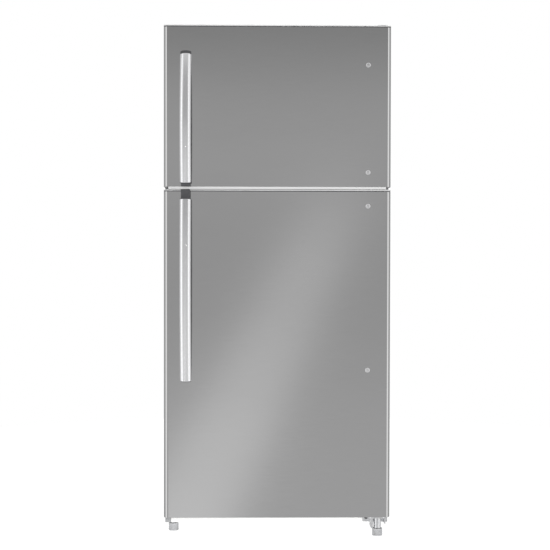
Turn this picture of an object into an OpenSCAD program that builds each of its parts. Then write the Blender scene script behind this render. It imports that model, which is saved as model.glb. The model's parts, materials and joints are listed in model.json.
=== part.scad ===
// Top freezer refrigerator, hinges on the right, doors facing -Y, feet on Z = 0.

/* [Cabinet] */
// Width of the cabinet and of both doors
cab_w = 750; // [730:1:760]
// Height of the cabinet's top above the floor
cab_top = 1696; // [1686:1:1716]
// Thickness of the insulated walls
wall_t = 50; // [46:1:50]
// Thickness of the sheet steel
sheet = 1; // [0.8:0.1:1.2]

/* [Doors] */
// Thickness of a door without its gasket
door_t = 70; // [66:1:70]
// Radius of the bend along a door's front edges
door_bend = 16; // [8:1:18]
// Bore radius of the hinge sockets in the doors
socket_r = 5.05; // [5.02:0.01:5.1]

/* [Handles] */
// Width of a handle seen from the front
handle_w = 37; // [30:1:40]
// How far a handle's face stands off the door at its farthest point
handle_out = 55; // [50:1:60]
// Thickness of a handle's bar
handle_t = 11; // [8:1:12]

/* [Interior] */
// Number of glass shelves in the fresh food compartment
shelf_count = 3; // [1:1:3]
// Gap between a drawer or bin wall and what is next to it
slack = 1.5; // [1:0.1:2]
// Thickness of the clear plastic walls
plastic_t = 3; // [2:0.5:4]

/* [Feet and rollers] */
// Radius of a levelling foot's pad
foot_r = 17; // [14:1:18]
// Height of a levelling foot's pad
foot_h = 25; // [22:1:25]
// Radius of the rear rollers
roller_r = 20; // [18:0.5:20]

/* [Hidden] */
$fn = 64;
// Gap between parts that don't move, and around a part that turns or slides on another
fit = 0.3;
run_fit = 0.06;
// Gap under a thin part that lies on another
seat = 0.2;
half_w = cab_w / 2;
cab_front = -260;
cab_back = 380;
cab_z0 = 36;
flange = 20;

door_back = -270;
door_front = door_back - door_t;
freezer_z0 = 1163;
freezer_z1 = cab_top - 2;
fresh_z0 = 68.5;
fresh_z1 = 1153.5;
cap_t = 3;
// Gap that shows between a door's top cap and its steel, and depths of the cap's neck and socket
cap_gap = 3;
cap_neck = 10;
cap_depth = 14;

liner_t = 1.5;
liner_x = half_w - wall_t;
liner_back = 320;
freezer_floor = 1191;
freezer_ceiling = cab_top - wall_t - liner_t;
fresh_floor = 106;
fresh_ceiling = 1121;
step_y = 138;
step_z = 318;
corner_r = 18;

machine_y = 180;
machine_top = 276;

hinge_x = half_w - 25;
hinge_y = -305;
pin_r = 5;

dike_x = liner_x - 13;
dike_w = 28;
dike_back = -239;
gasket_x = hinge_x - 5;
gasket_w = 20;

handle_x = -half_w + 55;
post_z = [[1564, 1211], [558, 1100]];
plug_x = 299;
bin_back = -160;
bin_x = dike_x - dike_w - slack;

switch_x = 145;
switch_front = -228;

foot_left = [-half_w + 25.5, -214];
foot_right = [337, -300];
stem_r = 4;
roller_x = half_w - 45;
roller_y = 330;
axle_r = 3;

// Middle of the compressor, and of the mains gland in the cover behind it
compressor_at = [190, 282];
compressor_hole = 36;
gland_z = 166;
gland_r = 14;
cord_r = 4.5;

// Front of the evaporator cover, and the fan and the knob that it carries
cover_y = 258;
fan_at = [0, 1516];
fan_axle_r = 2.5;
freezer_knob_at = [-220, 1286];

// Depth below the fresh food ceiling of the control knob and the door switch
control_drop = 24;
temperature_knob_x = -110;

freezer_shelf_z = 1408;
shelf_z = [616, 781, 946];
shelf_h = 16;
shelf_front = -125;
shelf_back = 290;

crisper_z = 109;
crisper_top = 334;
crisper_x = 300;
crisper_front = -122;
crisper_back = 128;

// Radius of the plastic round a door's hinge pins
dike_boss = 11;
// Heights of the raised border on each door's liner
freezer_dike = [freezer_floor + 14, freezer_ceiling - 14];
fresh_dike = [fresh_floor + 14, fresh_ceiling - 14];

// Height of a bowed bar's lower end, of its farthest point and of its upper end, and its radius
freezer_bow = [1173, 1343, 1604, 800];
fresh_bow = [521, 890, 1122, 2000];

dairy_z = 876;
dairy_top = dairy_z + 184;
dairy_roof_back = -212;
flap_pin = [-232, dairy_z + 112];
flap_pin_r = 3;
flap_r = 66;
flap_x = bin_x - plastic_t - 2;
// The flap spans these angles above and below the horizontal, seen from its pins
flap_up = 58;
flap_down = 44;

steel = [0.62, 0.62, 0.61];
paint = [0.55, 0.56, 0.57];
white = [0.93, 0.93, 0.93];
dark = [0.25, 0.25, 0.26];
zinc = [0.74, 0.75, 0.78];
clear = [0.85, 0.92, 0.95, 0.5];
foam_tint = [0.93, 0.87, 0.68];

// ---- Shapes that repeat ----

// Box between two corners
module box(lo, hi) {
    translate(lo)
        cube(hi - lo);
}

// Box whose four edges along Y are round
module round_y(lo, hi, r) {
    box([lo.x + r, lo.y, lo.z], [hi.x - r, hi.y, hi.z]);
    box([lo.x, lo.y, lo.z + r], [hi.x, hi.y, hi.z - r]);
    for (x = [lo.x + r, hi.x - r], z = [lo.z + r, hi.z - r])
        translate([x, lo.y, z])
            rotate([-90, 0, 0])
                cylinder(r = r, h = hi.y - lo.y);
}

// Box whose four edges along Z are round
module round_z(lo, hi, r) {
    box([lo.x + r, lo.y, lo.z], [hi.x - r, hi.y, hi.z]);
    box([lo.x, lo.y + r, lo.z], [hi.x, hi.y - r, hi.z]);
    for (x = [lo.x + r, hi.x - r], y = [lo.y + r, hi.y - r])
        translate([x, y, lo.z])
            cylinder(r = r, h = hi.z - lo.z);
}

// Box whose two front edges along Z are round
module round_front(lo, hi, r) {
    box([lo.x, lo.y + r, lo.z], hi);
    box([lo.x + r, lo.y, lo.z], [hi.x - r, hi.y, hi.z]);
    for (x = [lo.x + r, hi.x - r])
        translate([x, lo.y + r, lo.z])
            cylinder(r = r, h = hi.z - lo.z);
}

// Rectangular frame in the XZ plane, w wide all round
module frame_xz(lo, hi, w) {
    difference() {
        box(lo, hi);
        box([lo.x + w, lo.y - 1, lo.z + w], [hi.x - w, hi.y + 1, hi.z - w]);
    }
}

// Rods along each axis, centred on the given point's other two coordinates
module rod_x(x0, x1, y, z, r) {
    translate([x0, y, z])
        rotate([0, 90, 0])
            cylinder(r = r, h = x1 - x0);
}

module rod_y(x, y0, y1, z, r) {
    translate([x, y0, z])
        rotate([-90, 0, 0])
            cylinder(r = r, h = y1 - y0);
}

module rod_z(x, y, z0, z1, r) {
    translate([x, y, z0])
        cylinder(r = r, h = z1 - z0);
}

// Open-topped box with round upright edges
module tray(lo, hi, t, r) {
    difference() {
        round_z(lo, hi, r);
        round_z([lo.x + t, lo.y + t, lo.z + t], [hi.x - t, hi.y - t, hi.z + 1], r - t);
    }
}

// ---- Cabinet ----

module outer_shell() {
    inner = [half_w - sheet, cab_back + 1, cab_top - sheet];
    color(paint)
        difference() {
            box([-half_w, cab_front, cab_z0], [half_w, cab_back, cab_top]);
            box([-inner.x, cab_front + sheet, cab_z0 - 1], inner);
            box([-half_w + flange, cab_front - 1, cab_z0 - 1],
                [half_w - flange, cab_front + 2 * sheet, cab_top - flange]);
        }
}

module rear_panel() {
    color([0.8, 0.8, 0.8])
        difference() {
            box([-half_w + sheet + fit, cab_back - sheet, machine_top],
                [half_w - sheet - fit, cab_back, cab_top - sheet - fit]);
            // Pressed stiffening channels
            for (x = [-180, 0, 180])
                box([x - 30, cab_back - 0.4, 356], [x + 30, cab_back + 1, cab_top - 90]);
        }
    // Spacers that keep air behind the cabinet
    color(dark)
        for (x = [-half_w + 60, half_w - 60], z = [496, cab_top - 120])
            rod_y(x, cab_back, cab_back + 15, z, 12);
}

module cabinet_foam() {
    skin = liner_t + fit;
    x_out = half_w - sheet - fit;
    x_in = liner_x + skin;
    x_mid = x_in - fit;
    y0 = cab_front + sheet + 2 * fit;
    y1 = cab_back - sheet - fit;
    top = cab_top - sheet - fit;
    wall_y = machine_y - fit;
    color(foam_tint) {
        for (side = [-1, 1]) {
            difference() {
                box([side > 0 ? x_in : -x_out, y0, cab_z0 + 2],
                    [side > 0 ? x_out : -x_in, wall_y, top]);
                // Room for the left levelling foot's stem
                if (side < 0)
                    rod_z(foot_left.x, foot_left.y, cab_z0, 80, stem_r + 2);
            }
            box([side > 0 ? x_in : -x_out, machine_y, machine_top + fit],
                [side > 0 ? x_out : -x_in, y1, top]);
        }
        // Ceiling, divider and floor
        box([-x_mid, y0, freezer_ceiling + skin], [x_mid, y1, top]);
        box([-x_mid, y0, fresh_ceiling + skin], [x_mid, y1, freezer_floor - skin]);
        box([-x_mid, y0, cab_z0 + 2], [x_mid, wall_y, fresh_floor - skin]);
        // Back walls
        box([-x_mid, liner_back + skin, freezer_floor - liner_t], [x_mid, y1, freezer_ceiling + liner_t]);
        box([-x_mid, liner_back + skin, step_z], [x_mid, y1, fresh_ceiling + liner_t]);
        // The step over the machine compartment
        box([-x_mid, step_y + skin, fresh_floor], [x_mid, wall_y, step_z - skin]);
        box([-x_mid, machine_y, machine_top + fit], [x_mid, y1, step_z - skin]);
    }
}

// Front flange of a liner, from its opening out to the steel wrap
module liner_flange(z0, z1) {
    out = half_w - flange - fit;
    difference() {
        box([-out, cab_front, z0], [out, cab_front + liner_t, z1]);
        children();
    }
}

module freezer_liner() {
    lo = [-liner_x, cab_front - 1, freezer_floor];
    hi = [liner_x, liner_back, freezer_ceiling];
    t = [liner_t, 0, liner_t];
    color(white) {
        difference() {
            round_y([lo.x, cab_front, lo.z] - t, hi + t + [0, liner_t, 0], corner_r + liner_t);
            round_y(lo, hi, corner_r);
        }
        liner_flange(freezer_floor - liner_t, cab_top - flange - fit)
            round_y(lo, hi, corner_r);
    }
}

module fresh_space(grow, y0) {
    round_y([-liner_x - grow, y0, fresh_floor - grow],
        [liner_x + grow, step_y + grow, fresh_ceiling + grow], corner_r + grow);
    round_y([-liner_x - grow, y0, step_z - grow],
        [liner_x + grow, liner_back + grow, fresh_ceiling + grow], corner_r + grow);
}

module fresh_liner() {
    color(white) {
        difference() {
            fresh_space(liner_t, cab_front);
            fresh_space(0, cab_front - 1);
        }
        liner_flange(fresh_floor - liner_t, fresh_ceiling + liner_t)
            fresh_space(0, cab_front - 1);
    }
}

module center_rail() {
    x = half_w - flange - fit;
    z0 = fresh_ceiling + liner_t + fit;
    z1 = freezer_floor - liner_t - fit;
    color(white)
        box([-x, cab_front, z0], [x, cab_front + liner_t, z1]);
}

module base_rail() {
    x = half_w - flange - fit;
    color(white) {
        box([-x, cab_front, cab_z0], [x, cab_front + liner_t, fresh_floor - liner_t - fit]);
        // Deck under the foam
        difference() {
            box([-half_w + sheet, cab_front + liner_t, cab_z0],
                [half_w - sheet, machine_y, cab_z0 + liner_t]);
            rod_z(foot_left.x, foot_left.y, cab_z0 - 1, cab_z0 + 3, stem_r + 1);
        }
    }
}

module base_pan() {
    x = half_w - sheet - fit;
    color(zinc) {
        difference() {
            box([-x, machine_y + fit, cab_z0], [x, cab_back - sheet, cab_z0 + 2]);
            // Air slots under the condenser
            for (i = [0:7])
                box([-60 + i * 14, machine_y + 30, cab_z0 - 1],
                    [-54 + i * 14, cab_back - 40, cab_z0 + 3]);
            // Room for the rollers
            for (x = [-roller_x, roller_x])
                box([x - 11, roller_y - 23, cab_z0 - 1], [x + 11, roller_y + 23, cab_z0 + 3]);
        }
        box([-x, machine_y + fit, cab_z0], [x, machine_y + fit + 2, cab_z0 + 24]);
        for (x = [-roller_x, roller_x]) {
            for (dx = [-13, 11])
                box([x + dx, roller_y - 16, 10], [x + dx + 2, roller_y + 16, cab_z0]);
            rod_x(x - 15, x + 15, roller_y, roller_r, axle_r);
        }
        // Nut plate of the left levelling foot
        difference() {
            round_z([foot_left.x - 18, foot_left.y - 18, cab_z0 - 4],
                [foot_left.x + 18, foot_left.y + 18, cab_z0], 6);
            rod_z(foot_left.x, foot_left.y, cab_z0 - 5, cab_z0 + 1, stem_r + run_fit);
        }
    }
}

module compressor() {
    color(dark)
        translate([compressor_at.x, compressor_at.y, 0]) {
            translate([0, 0, 70])
                rotate_extrude()
                    polygon([[0, 0], [50, 0], [76, 16], [84, 34], [84, 80], [87, 80], [87, 86], [84, 86],
                        [84, 116], [72, 140], [46, 154], [0, 160]]);
            // Start relay box and suction stub
            box([-118, -32, 114], [-80, 32, 166]);
            rod_z(0, 62, 176, 244, 5);
        }
}

module compressor_mounts() {
    color([0.12, 0.12, 0.12])
        for (dx = [-85, 85], dy = [-60, 60])
            rod_z(compressor_at.x + dx, compressor_at.y + dy, cab_z0 + 2, 66, 11);
    color(dark)
        difference() {
            box([compressor_at.x - 100, compressor_at.y - 75, 66],
                [compressor_at.x + 100, compressor_at.y + 75, 70]);
            rod_z(compressor_at.x, compressor_at.y, 65, 71, compressor_hole);
        }
}

module drain_pan() {
    color(white)
        tray([-300, 205, cab_z0 + 10], [40, 362, cab_z0 + 52], plastic_t, 12);
    color(white)
        for (x = [-280, 0])
            box([x, 220, cab_z0 + 2], [x + 20, 350, cab_z0 + 10]);
}

module machine_cover() {
    slot_x = 105;
    color([0.3, 0.3, 0.31])
        difference() {
            box([-half_w + 4, cab_back, cab_z0 + 2], [half_w - 4, cab_back + 2, machine_top + 12]);
            // Two banks of air slots
            for (mid = [-175, 175], i = [0:9])
                box([mid - slot_x, cab_back - 1, 86 + i * 17], [mid + slot_x, cab_back + 3, 92 + i * 17]);
            rod_y(0, cab_back - 1, cab_back + 3, gland_z, gland_r + 0.5);
        }
}

// Gland that a mains cord passes through, in the middle of the machine cover
module mains_inlet() {
    color(dark)
        difference() {
            union() {
                rod_y(0, cab_back - 8, cab_back + 12, gland_z, gland_r);
                rod_y(0, cab_back + 2 + seat / 2, cab_back + 6, gland_z, gland_r + 6);
            }
            rod_y(0, cab_back - 9, cab_back + 13, gland_z, cord_r);
        }
}

// ---- Hinges ----

module top_hinge() {
    z = cab_top + seat;
    color(zinc) {
        round_z([hinge_x - 20, hinge_y - 15, z], [hinge_x + 16, cab_front + 20, z + 3], 8);
        round_z([hinge_x - 52, cab_front + 6, z], [hinge_x + 16, -170, z + 3], 8);
        rod_z(hinge_x, hinge_y, freezer_z1 - 20, z + 1, pin_r);
    }
}

module top_hinge_cover() {
    z = cab_top;
    color([0.5, 0.5, 0.51])
        difference() {
            round_z([hinge_x - 58, cab_front + 3, z], [hinge_x + 22, -158, z + 10], 8);
            round_z([hinge_x - 55, cab_front + 2, z - 1], [hinge_x + 19, -161, z + 8], 6);
            box([hinge_x - 40, cab_front - 1, z - 1], [hinge_x + 18, cab_front + 12, z + 4]);
        }
}

module middle_hinge() {
    z = (fresh_z1 + freezer_z0) / 2;
    // Lower than the gap between the doors, whose back corners swing in front of it
    plate_h = freezer_z0 - fresh_z1 - 0.7;
    color(zinc) {
        // Plate against the rail, arm out to the pin
        box([hinge_x - 76, cab_front - 3, z - plate_h / 2], [half_w - flange - 2, cab_front, z + plate_h / 2]);
        box([hinge_x - 26, hinge_y, z - 2.5], [hinge_x + 6, cab_front - 2, z + 2.5]);
        rod_z(hinge_x, hinge_y, z - 2.5, z + 2.5, 12);
        box([hinge_x - 26, hinge_y, z - 2.5], [hinge_x, hinge_y + 12, z + 2.5]);
        rod_z(hinge_x, hinge_y, fresh_z1 - 20, freezer_z0 + 20, pin_r);
    }
}

module bottom_hinge() {
    z = fresh_z0 - 8;
    boss_z0 = foot_h + 0.5;
    color(zinc) {
        // Upright plate against the base rail
        box([290, cab_front - 3, cab_z0 + 2], [half_w - 4, cab_front, z + 4]);
        // Shelf under the door, with the pin, and the foot's boss
        difference() {
            union() {
                box([300, hinge_y, z], [hinge_x + 16, cab_front - 2, z + 4]);
                rod_z(hinge_x, hinge_y, z, z + 4, 16);
                rod_z(foot_right.x - 17, foot_right.y - 5, z, z + 4, 16);
                box([foot_right.x - 17, hinge_y - 16, z], [hinge_x, hinge_y, z + 4]);
                rod_z(foot_right.x, foot_right.y, boss_z0, z, 12);
                // Upright webs beside the boss
                box([315, hinge_y - 8, boss_z0 + 1], [322, cab_front, z + 1]);
                box([half_w - 14, hinge_y + 5, cab_z0 + 2], [half_w - 10, cab_front, z + 1]);
            }
            rod_z(foot_right.x, foot_right.y, boss_z0 - 1, z - 1, stem_r + run_fit);
        }
        rod_z(hinge_x, hinge_y, z, fresh_z0 + 20, pin_r);
    }
}

// Hexagon-head screw with a washer face, its head towards the given direction
module hex_screw(turn) {
    rotate(turn) {
        cylinder(r = 5.5, h = 4, $fn = 6);
        cylinder(r = 6.5, h = 1);
    }
}

module hinge_bolts() {
    color(zinc) {
        for (p = [[-34, 26], [0, 26], [-34, 56]])
            translate([hinge_x + p.x, cab_front + p.y, cab_top + 3.2])
                hex_screw([0, 0, 0]);
        for (x = [hinge_x - 66, hinge_x - 42])
            translate([x, cab_front - 3, (fresh_z1 + freezer_z0) / 2])
                hex_screw([90, 0, 0]);
        for (x = [303, 343])
            translate([x, cab_front - 3, 53])
                hex_screw([90, 0, 0]);
    }
}

// ---- Inside ----

module evaporator_cover() {
    y = cover_y;
    color(white)
        difference() {
            union() {
                round_y([-liner_x + 2, y, freezer_floor + 1],
                    [liner_x - 2, y + 2.5, freezer_ceiling - 1], corner_r);
                // Raised panel round the fan outlet
                round_y([-150, y - 6, fan_at.y - 70], [150, y + 1, fan_at.y + 70], 14);
            }
            for (i = [0:8])
                round_y([-70, y - 8, fan_at.y - 50 + i * 12], [70, y + 4, fan_at.y - 45 + i * 12], 2.4);
            // Return air slots along the bottom
            for (x = [-285:29:266])
                box([x, y - 1, freezer_floor + 12], [x + 15, y + 4, freezer_floor + 24]);
            rod_y(freezer_knob_at.x, y - 1, y + 4, freezer_knob_at.y, axle_r + 1);
        }
}

module evaporator() {
    color([0.8, 0.81, 0.83]) {
        for (i = [0:27])
            box([-243 + i * 18, 268, 1226], [-242 + i * 18, 314, 1416]);
        for (i = [0:6], y = [280, 302])
            rod_x(-255, 255, y, 1238 + i * 27, 4);
    }
}

module fan_motor() {
    color(dark) {
        rod_y(fan_at.x, 292, 318, fan_at.y, 28);
        rod_y(fan_at.x, 270, 294, fan_at.y, fan_axle_r);
        for (a = [0:120:240])
            translate([fan_at.x, 0, fan_at.y])
                rotate([0, a, 0])
                    box([20, 306, -5], [68, 312, 5]);
    }
}

module fan_blade() {
    color([0.2, 0.2, 0.2])
        difference() {
            union() {
                rod_y(fan_at.x, 270, 286, fan_at.y, 12);
                for (a = [0:72:288])
                    translate([fan_at.x, 278, fan_at.y])
                        rotate([0, a, 0])
                            rotate([28, 0, 0])
                                box([8, -1, -17], [54, 1, 17]);
            }
            rod_y(fan_at.x, 269, 290, fan_at.y, fan_axle_r + run_fit);
        }
}

module freezer_shelf() {
    z = freezer_shelf_z;
    y0 = -150;
    y1 = 240;
    color(white) {
        for (y = [y0, 45, y1])
            rod_x(-liner_x + 3, liner_x - 3, y, z, 3.5);
        for (i = [0:24])
            rod_y(-300 + i * 25, y0, y1, z + 3, 2);
    }
}

module air_duct() {
    color(white)
        difference() {
            round_z([-70, 300, step_z + 40], [70, liner_back, fresh_ceiling - 4], 6);
            for (z = [446, 636, 826, 1016], dx = [-45, 15])
                box([dx, 299, z], [dx + 30, 306, z + 12]);
        }
}

module control_housing() {
    z = fresh_ceiling;
    color(white)
        difference() {
            union() {
                round_z([-190, -150, z - 48], [190, 60, z], 14);
                // Nose that carries the door switch
                box([128, switch_front, z - 40], [162, -140, z]);
            }
            box([-150, -60, z - 49], [150, 40, z - 44]);
            rod_y(temperature_knob_x, -151, -130, z - control_drop, axle_r + run_fit);
            box([switch_x - 10, switch_front - 1, z - control_drop - 10],
                [switch_x + 10, -170, z - control_drop + 10]);
        }
}

module lamp_lens() {
    color(clear)
        round_z([-148, -58, fresh_ceiling - 50], [148, 38, fresh_ceiling - 44], 4);
}

// Rebate that the glass of a shelf lies in
shelf_rebate = 5;

module shelf_frames() {
    x = liner_x - 2;
    color(white)
        for (i = [0:shelf_count - 1])
            translate([0, 0, shelf_z[i]])
                difference() {
                    union() {
                        box([-x, shelf_front, 0], [x, shelf_back, shelf_h]);
                        rod_x(-x, x, shelf_front, shelf_h / 2, shelf_h / 2);
                    }
                    box([-x + 20, shelf_front + 14, -1], [x - 20, shelf_back - 12, shelf_h + 1]);
                    box([-x + 12, shelf_front + 8, shelf_h - shelf_rebate],
                        [x - 12, shelf_back - 6, shelf_h + 1]);
                }
}

module shelf_glass() {
    x = liner_x - 14.5;
    color(clear)
        for (i = [0:shelf_count - 1])
            translate([0, 0, shelf_z[i] + shelf_h - shelf_rebate])
                box([-x, shelf_front + 8.5, 0], [x, shelf_back - 6.5, shelf_rebate - 1]);
}

module crisper_cover() {
    x = liner_x - 2;
    z = crisper_top + 6;
    color(white)
        difference() {
            union() {
                box([-x, shelf_front, z], [x, step_y - 4, z + 12]);
                rod_x(-x, x, shelf_front, z + 6, 6);
                // Middle divider and side guides under the cover
                box([-4, shelf_front + 4, fresh_floor + 1], [4, step_y - 6, z]);
                for (side = [-1, 1])
                    box([side > 0 ? crisper_x + 4 : -x, shelf_front + 4, z - 24],
                        [side > 0 ? x : -crisper_x - 4, step_y - 6, z]);
            }
            box([-x + 26, shelf_front + 26, z - 0.5], [x - 26, step_y - 26, z + 6]);
        }
}

// Drawer with a lipped front
module crisper(x0, x1) {
    difference() {
        union() {
            round_z([x0, crisper_front + 6, crisper_z], [x1, crisper_back, crisper_top - 14], 10);
            round_z([x0, crisper_front, crisper_z], [x1, crisper_front + 14, crisper_top], 5);
            box([x0, crisper_front + 6, crisper_top - 18], [x1, crisper_front + 22, crisper_top]);
        }
        round_z([x0 + plastic_t, crisper_front + 14, crisper_z + plastic_t],
            [x1 - plastic_t, crisper_back - plastic_t, crisper_top + 1], 7);
        // Finger recess behind the front lip
        round_y([(x0 + x1) / 2 - 60, crisper_front - 1, crisper_top - 40],
            [(x0 + x1) / 2 + 60, crisper_front + 10, crisper_top - 18], 8);
    }
}

module left_crisper() {
    color(clear)
        crisper(-crisper_x, -4 - slack);
}

module right_crisper() {
    color(clear)
        crisper(4 + slack, crisper_x);
}

// Knob with a pointer rib; its shaft points to +Y
module knob(x, y, z, r) {
    rod_y(x, y - 12, y, z, r);
    box([x - 3, y - 20, z - r + 1], [x + 3, y - 10, z + r - 1]);
    rod_y(x, y - 1, y + 10, z, axle_r);
}

module temperature_knob() {
    color([0.9, 0.9, 0.9])
        knob(temperature_knob_x, -150.5, fresh_ceiling - control_drop, 17);
}

module freezer_knob() {
    color([0.9, 0.9, 0.9])
        knob(freezer_knob_at.x, cover_y - 0.5, freezer_knob_at.y, 20);
}

module door_switch() {
    z = fresh_ceiling - control_drop;
    color(white)
        round_y([switch_x - 9, dike_back + fit, z - 9], [switch_x + 9, -184, z + 9], 3);
}

// ---- Feet and rollers ----

module levelling_foot(p, stem_top) {
    translate([p.x, p.y, 0]) {
        cylinder(r1 = foot_r - 2, r2 = foot_r, h = 3);
        translate([0, 0, 3])
            cylinder(r = foot_r, h = foot_h - 6);
        translate([0, 0, foot_h - 3])
            cylinder(r1 = foot_r, r2 = foot_r - 2.5, h = 3);
        cylinder(r = stem_r, h = stem_top);
    }
}

module left_foot() {
    color([0.85, 0.85, 0.86])
        levelling_foot(foot_left, 68);
}

module right_foot() {
    color([0.85, 0.85, 0.86])
        levelling_foot(foot_right, 59);
}

module roller(x) {
    color([0.2, 0.2, 0.2])
        difference() {
            rod_x(x - 10, x + 10, roller_y, roller_r, roller_r);
            rod_x(x - 11, x + 11, roller_y, roller_r, axle_r + run_fit);
        }
}

module left_roller() {
    roller(-roller_x);
}

module right_roller() {
    roller(roller_x);
}

// ---- Doors ----

// Steel wrap of a door: front, sides and short return flanges at the back
module door_skin(z0, z1) {
    r = door_bend;
    difference() {
        round_front([-half_w, door_front, z0], [half_w, door_back, z1 - cap_t - cap_gap], r);
        round_front([-half_w + sheet, door_front + sheet, z0 - 1],
            [half_w - sheet, door_back - sheet, z1], r - sheet);
        box([-half_w + 14, door_back - 10, z0 - 1], [half_w - 14, door_back + 1, z1]);
    }
}

// Bores for the hinge pins, open at both ends of the door
module hinge_bores(z0, z1, r) {
    rod_z(hinge_x, hinge_y, z0 - 1, z0 + 26, r);
    rod_z(hinge_x, hinge_y, z1 - 26, z1 + 1, r);
}

// Insulation: the slab and the bars that fill the liner's raised border
module door_foam(z0, z1, d0, d1) {
    x = half_w - sheet - fit;
    c = liner_t + fit;
    difference() {
        round_front([-x, door_front + sheet + fit, z0 + 5],
            [x, door_back - liner_t - fit, z1 - cap_depth], door_bend);
        hinge_bores(z0, z1, dike_boss + fit);
    }
    for (side = [-1, 1])
        box([side > 0 ? dike_x - dike_w + c : -dike_x + c, door_back - liner_t, d0 + c],
            [side > 0 ? dike_x - c : -dike_x + dike_w - c, dike_back - c, d1 - c]);
    for (z = [d0, d1 - dike_w])
        box([-dike_x + dike_w, door_back - liner_t, z + c],
            [dike_x - dike_w, dike_back - c, z + dike_w - c]);
}

// Inner liner: flat sheet with a hollow raised border
module door_liner(z0, z1, d0, d1) {
    t = liner_t;
    sheet_x = half_w - 14 - fit;
    difference() {
        union() {
            box([-sheet_x, door_back - t, z0 + 6], [sheet_x, door_back, z1 - 6]);
            frame_xz([-dike_x, door_back - t, d0], [dike_x, dike_back, d1], dike_w);
        }
        frame_xz([-dike_x + t, door_back - t - 1, d0 + t],
            [dike_x - t, dike_back - t, d1 - t], dike_w - 2 * t);
    }
}

// End caps with a socket for the hinge pin; the top one shows above the steel
module door_caps(z0, z1) {
    inset = sheet + fit;
    difference() {
        union() {
            round_front([-half_w, door_front, z1 - cap_t], [half_w, door_back, z1], door_bend);
            round_front([-half_w + inset, door_front + inset, z1 - cap_neck],
                [half_w - inset, door_back - 2, z1 - cap_t + 1], door_bend);
            rod_z(hinge_x, hinge_y, z1 - 26, z1, dike_boss);
            round_front([-half_w + inset, door_front + inset, z0 + 1],
                [half_w - inset, door_back - 2, z0 + 4], door_bend);
            rod_z(hinge_x, hinge_y, z0 + 1, z0 + 26, dike_boss);
        }
        hinge_bores(z0, z1, socket_r);
    }
}

// Magnetic gasket: a base strip and a softer bead on the sealing line
module gasket(z0, z1) {
    w = gasket_w;
    frame_xz([-gasket_x, door_back, z0], [gasket_x, door_back + 4, z1], w);
    frame_xz([-gasket_x + 2, door_back + 4, z0 + 2], [gasket_x - 2, cab_front - seat, z1 - 2], w - 4);
}

// Bowed bar: an arc about an axis along X, farthest from the door at z_mid
module bow(z_lo, z_mid, z_hi, r) {
    up = asin((z_hi - z_mid) / r);
    down = asin((z_mid - z_lo) / r);
    nose = 4;
    translate([handle_x, door_front - handle_out + r, z_mid])
        rotate([-90, 0, 0])
            rotate([0, 90, 0])
                rotate([0, 0, -up])
                    rotate_extrude(angle = up + down, $fn = 360)
                        translate([r - handle_t, 0]) {
                            square([handle_t - nose, handle_w]);
                            translate([0, nose])
                                square([handle_t, handle_w - 2 * nose]);
                            for (y = [nose, handle_w - nose])
                                translate([handle_t - nose, y])
                                    circle(r = nose, $fn = 32);
                        }
}

// Post at the far end and bracket at the seam end, both trimmed to the bar's back face
module handle_mounts(bow, post, seam_z0, seam_z1) {
    x = handle_x + handle_w / 2;
    intersection() {
        union() {
            box([x - 9, door_front - handle_out, post - 12], [x + 9, door_front - fit, post + 12]);
            box([x - 15, door_front - handle_out, seam_z0], [x + 15, door_front - fit, seam_z1]);
        }
        rod_x(x - 20, x + 20, door_front - handle_out + bow[3], bow[1], bow[3] - handle_t - fit);
    }
}

// Domed cover of a spare handle hole
module plug(z) {
    dome = 40;
    translate([plug_x, door_front - seat, z])
        rotate([90, 0, 0])
            intersection() {
                cylinder(r = 8, h = 4);
                translate([0, 0, 2.6 - dome])
                    sphere(r = dome, $fn = 128);
            }
}

module freezer_skin() {
    color(steel)
        door_skin(freezer_z0, freezer_z1);
}

module fresh_skin() {
    color(steel)
        door_skin(fresh_z0, fresh_z1);
}

module freezer_door_foam() {
    color(foam_tint)
        door_foam(freezer_z0, freezer_z1, freezer_dike[0], freezer_dike[1]);
}

module fresh_door_foam() {
    color(foam_tint)
        door_foam(fresh_z0, fresh_z1, fresh_dike[0], fresh_dike[1]);
}

module freezer_door_liner() {
    color(white)
        door_liner(freezer_z0, freezer_z1, freezer_dike[0], freezer_dike[1]);
}

module fresh_door_liner() {
    color(white)
        door_liner(fresh_z0, fresh_z1, fresh_dike[0], fresh_dike[1]);
}

module freezer_caps() {
    color([0.82, 0.82, 0.82])
        door_caps(freezer_z0, freezer_z1);
}

module fresh_caps() {
    color([0.82, 0.82, 0.82])
        door_caps(fresh_z0, fresh_z1);
}

module freezer_gasket() {
    color([0.8, 0.8, 0.8])
        gasket(freezer_z0 + 5, cab_top - flange - 6);
}

module fresh_gasket() {
    color([0.8, 0.8, 0.8])
        gasket(fresh_z0 + 10, fresh_z1 - 5);
}

module freezer_handle() {
    color([0.8, 0.8, 0.82])
        bow(freezer_bow[0], freezer_bow[1], freezer_bow[2], freezer_bow[3]);
}

module fresh_handle() {
    color([0.8, 0.8, 0.82])
        bow(fresh_bow[0], fresh_bow[1], fresh_bow[2], fresh_bow[3]);
}

module freezer_handle_mounts() {
    color(dark)
        handle_mounts(freezer_bow, post_z[0][0], freezer_z0 + 1, post_z[0][1] + 12);
}

module fresh_handle_mounts() {
    color(dark)
        handle_mounts(fresh_bow, post_z[1][0], post_z[1][1] - 12, fresh_z1 - 1);
}

module freezer_plugs() {
    color([0.8, 0.8, 0.82])
        for (z = post_z[0])
            plug(z);
}

module fresh_plugs() {
    color([0.8, 0.8, 0.82])
        for (z = post_z[1])
            plug(z);
}

// Bin across the door, between the raised borders; its front wall is lower than its ends
module door_bin(z, h, back) {
    difference() {
        tray([-bin_x, door_back + fit, z], [bin_x, back, z + h], plastic_t, 12);
        box([-bin_x + 40, back - 20, z + h * 0.72], [bin_x - 40, back + 1, z + h + 1]);
    }
}

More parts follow.
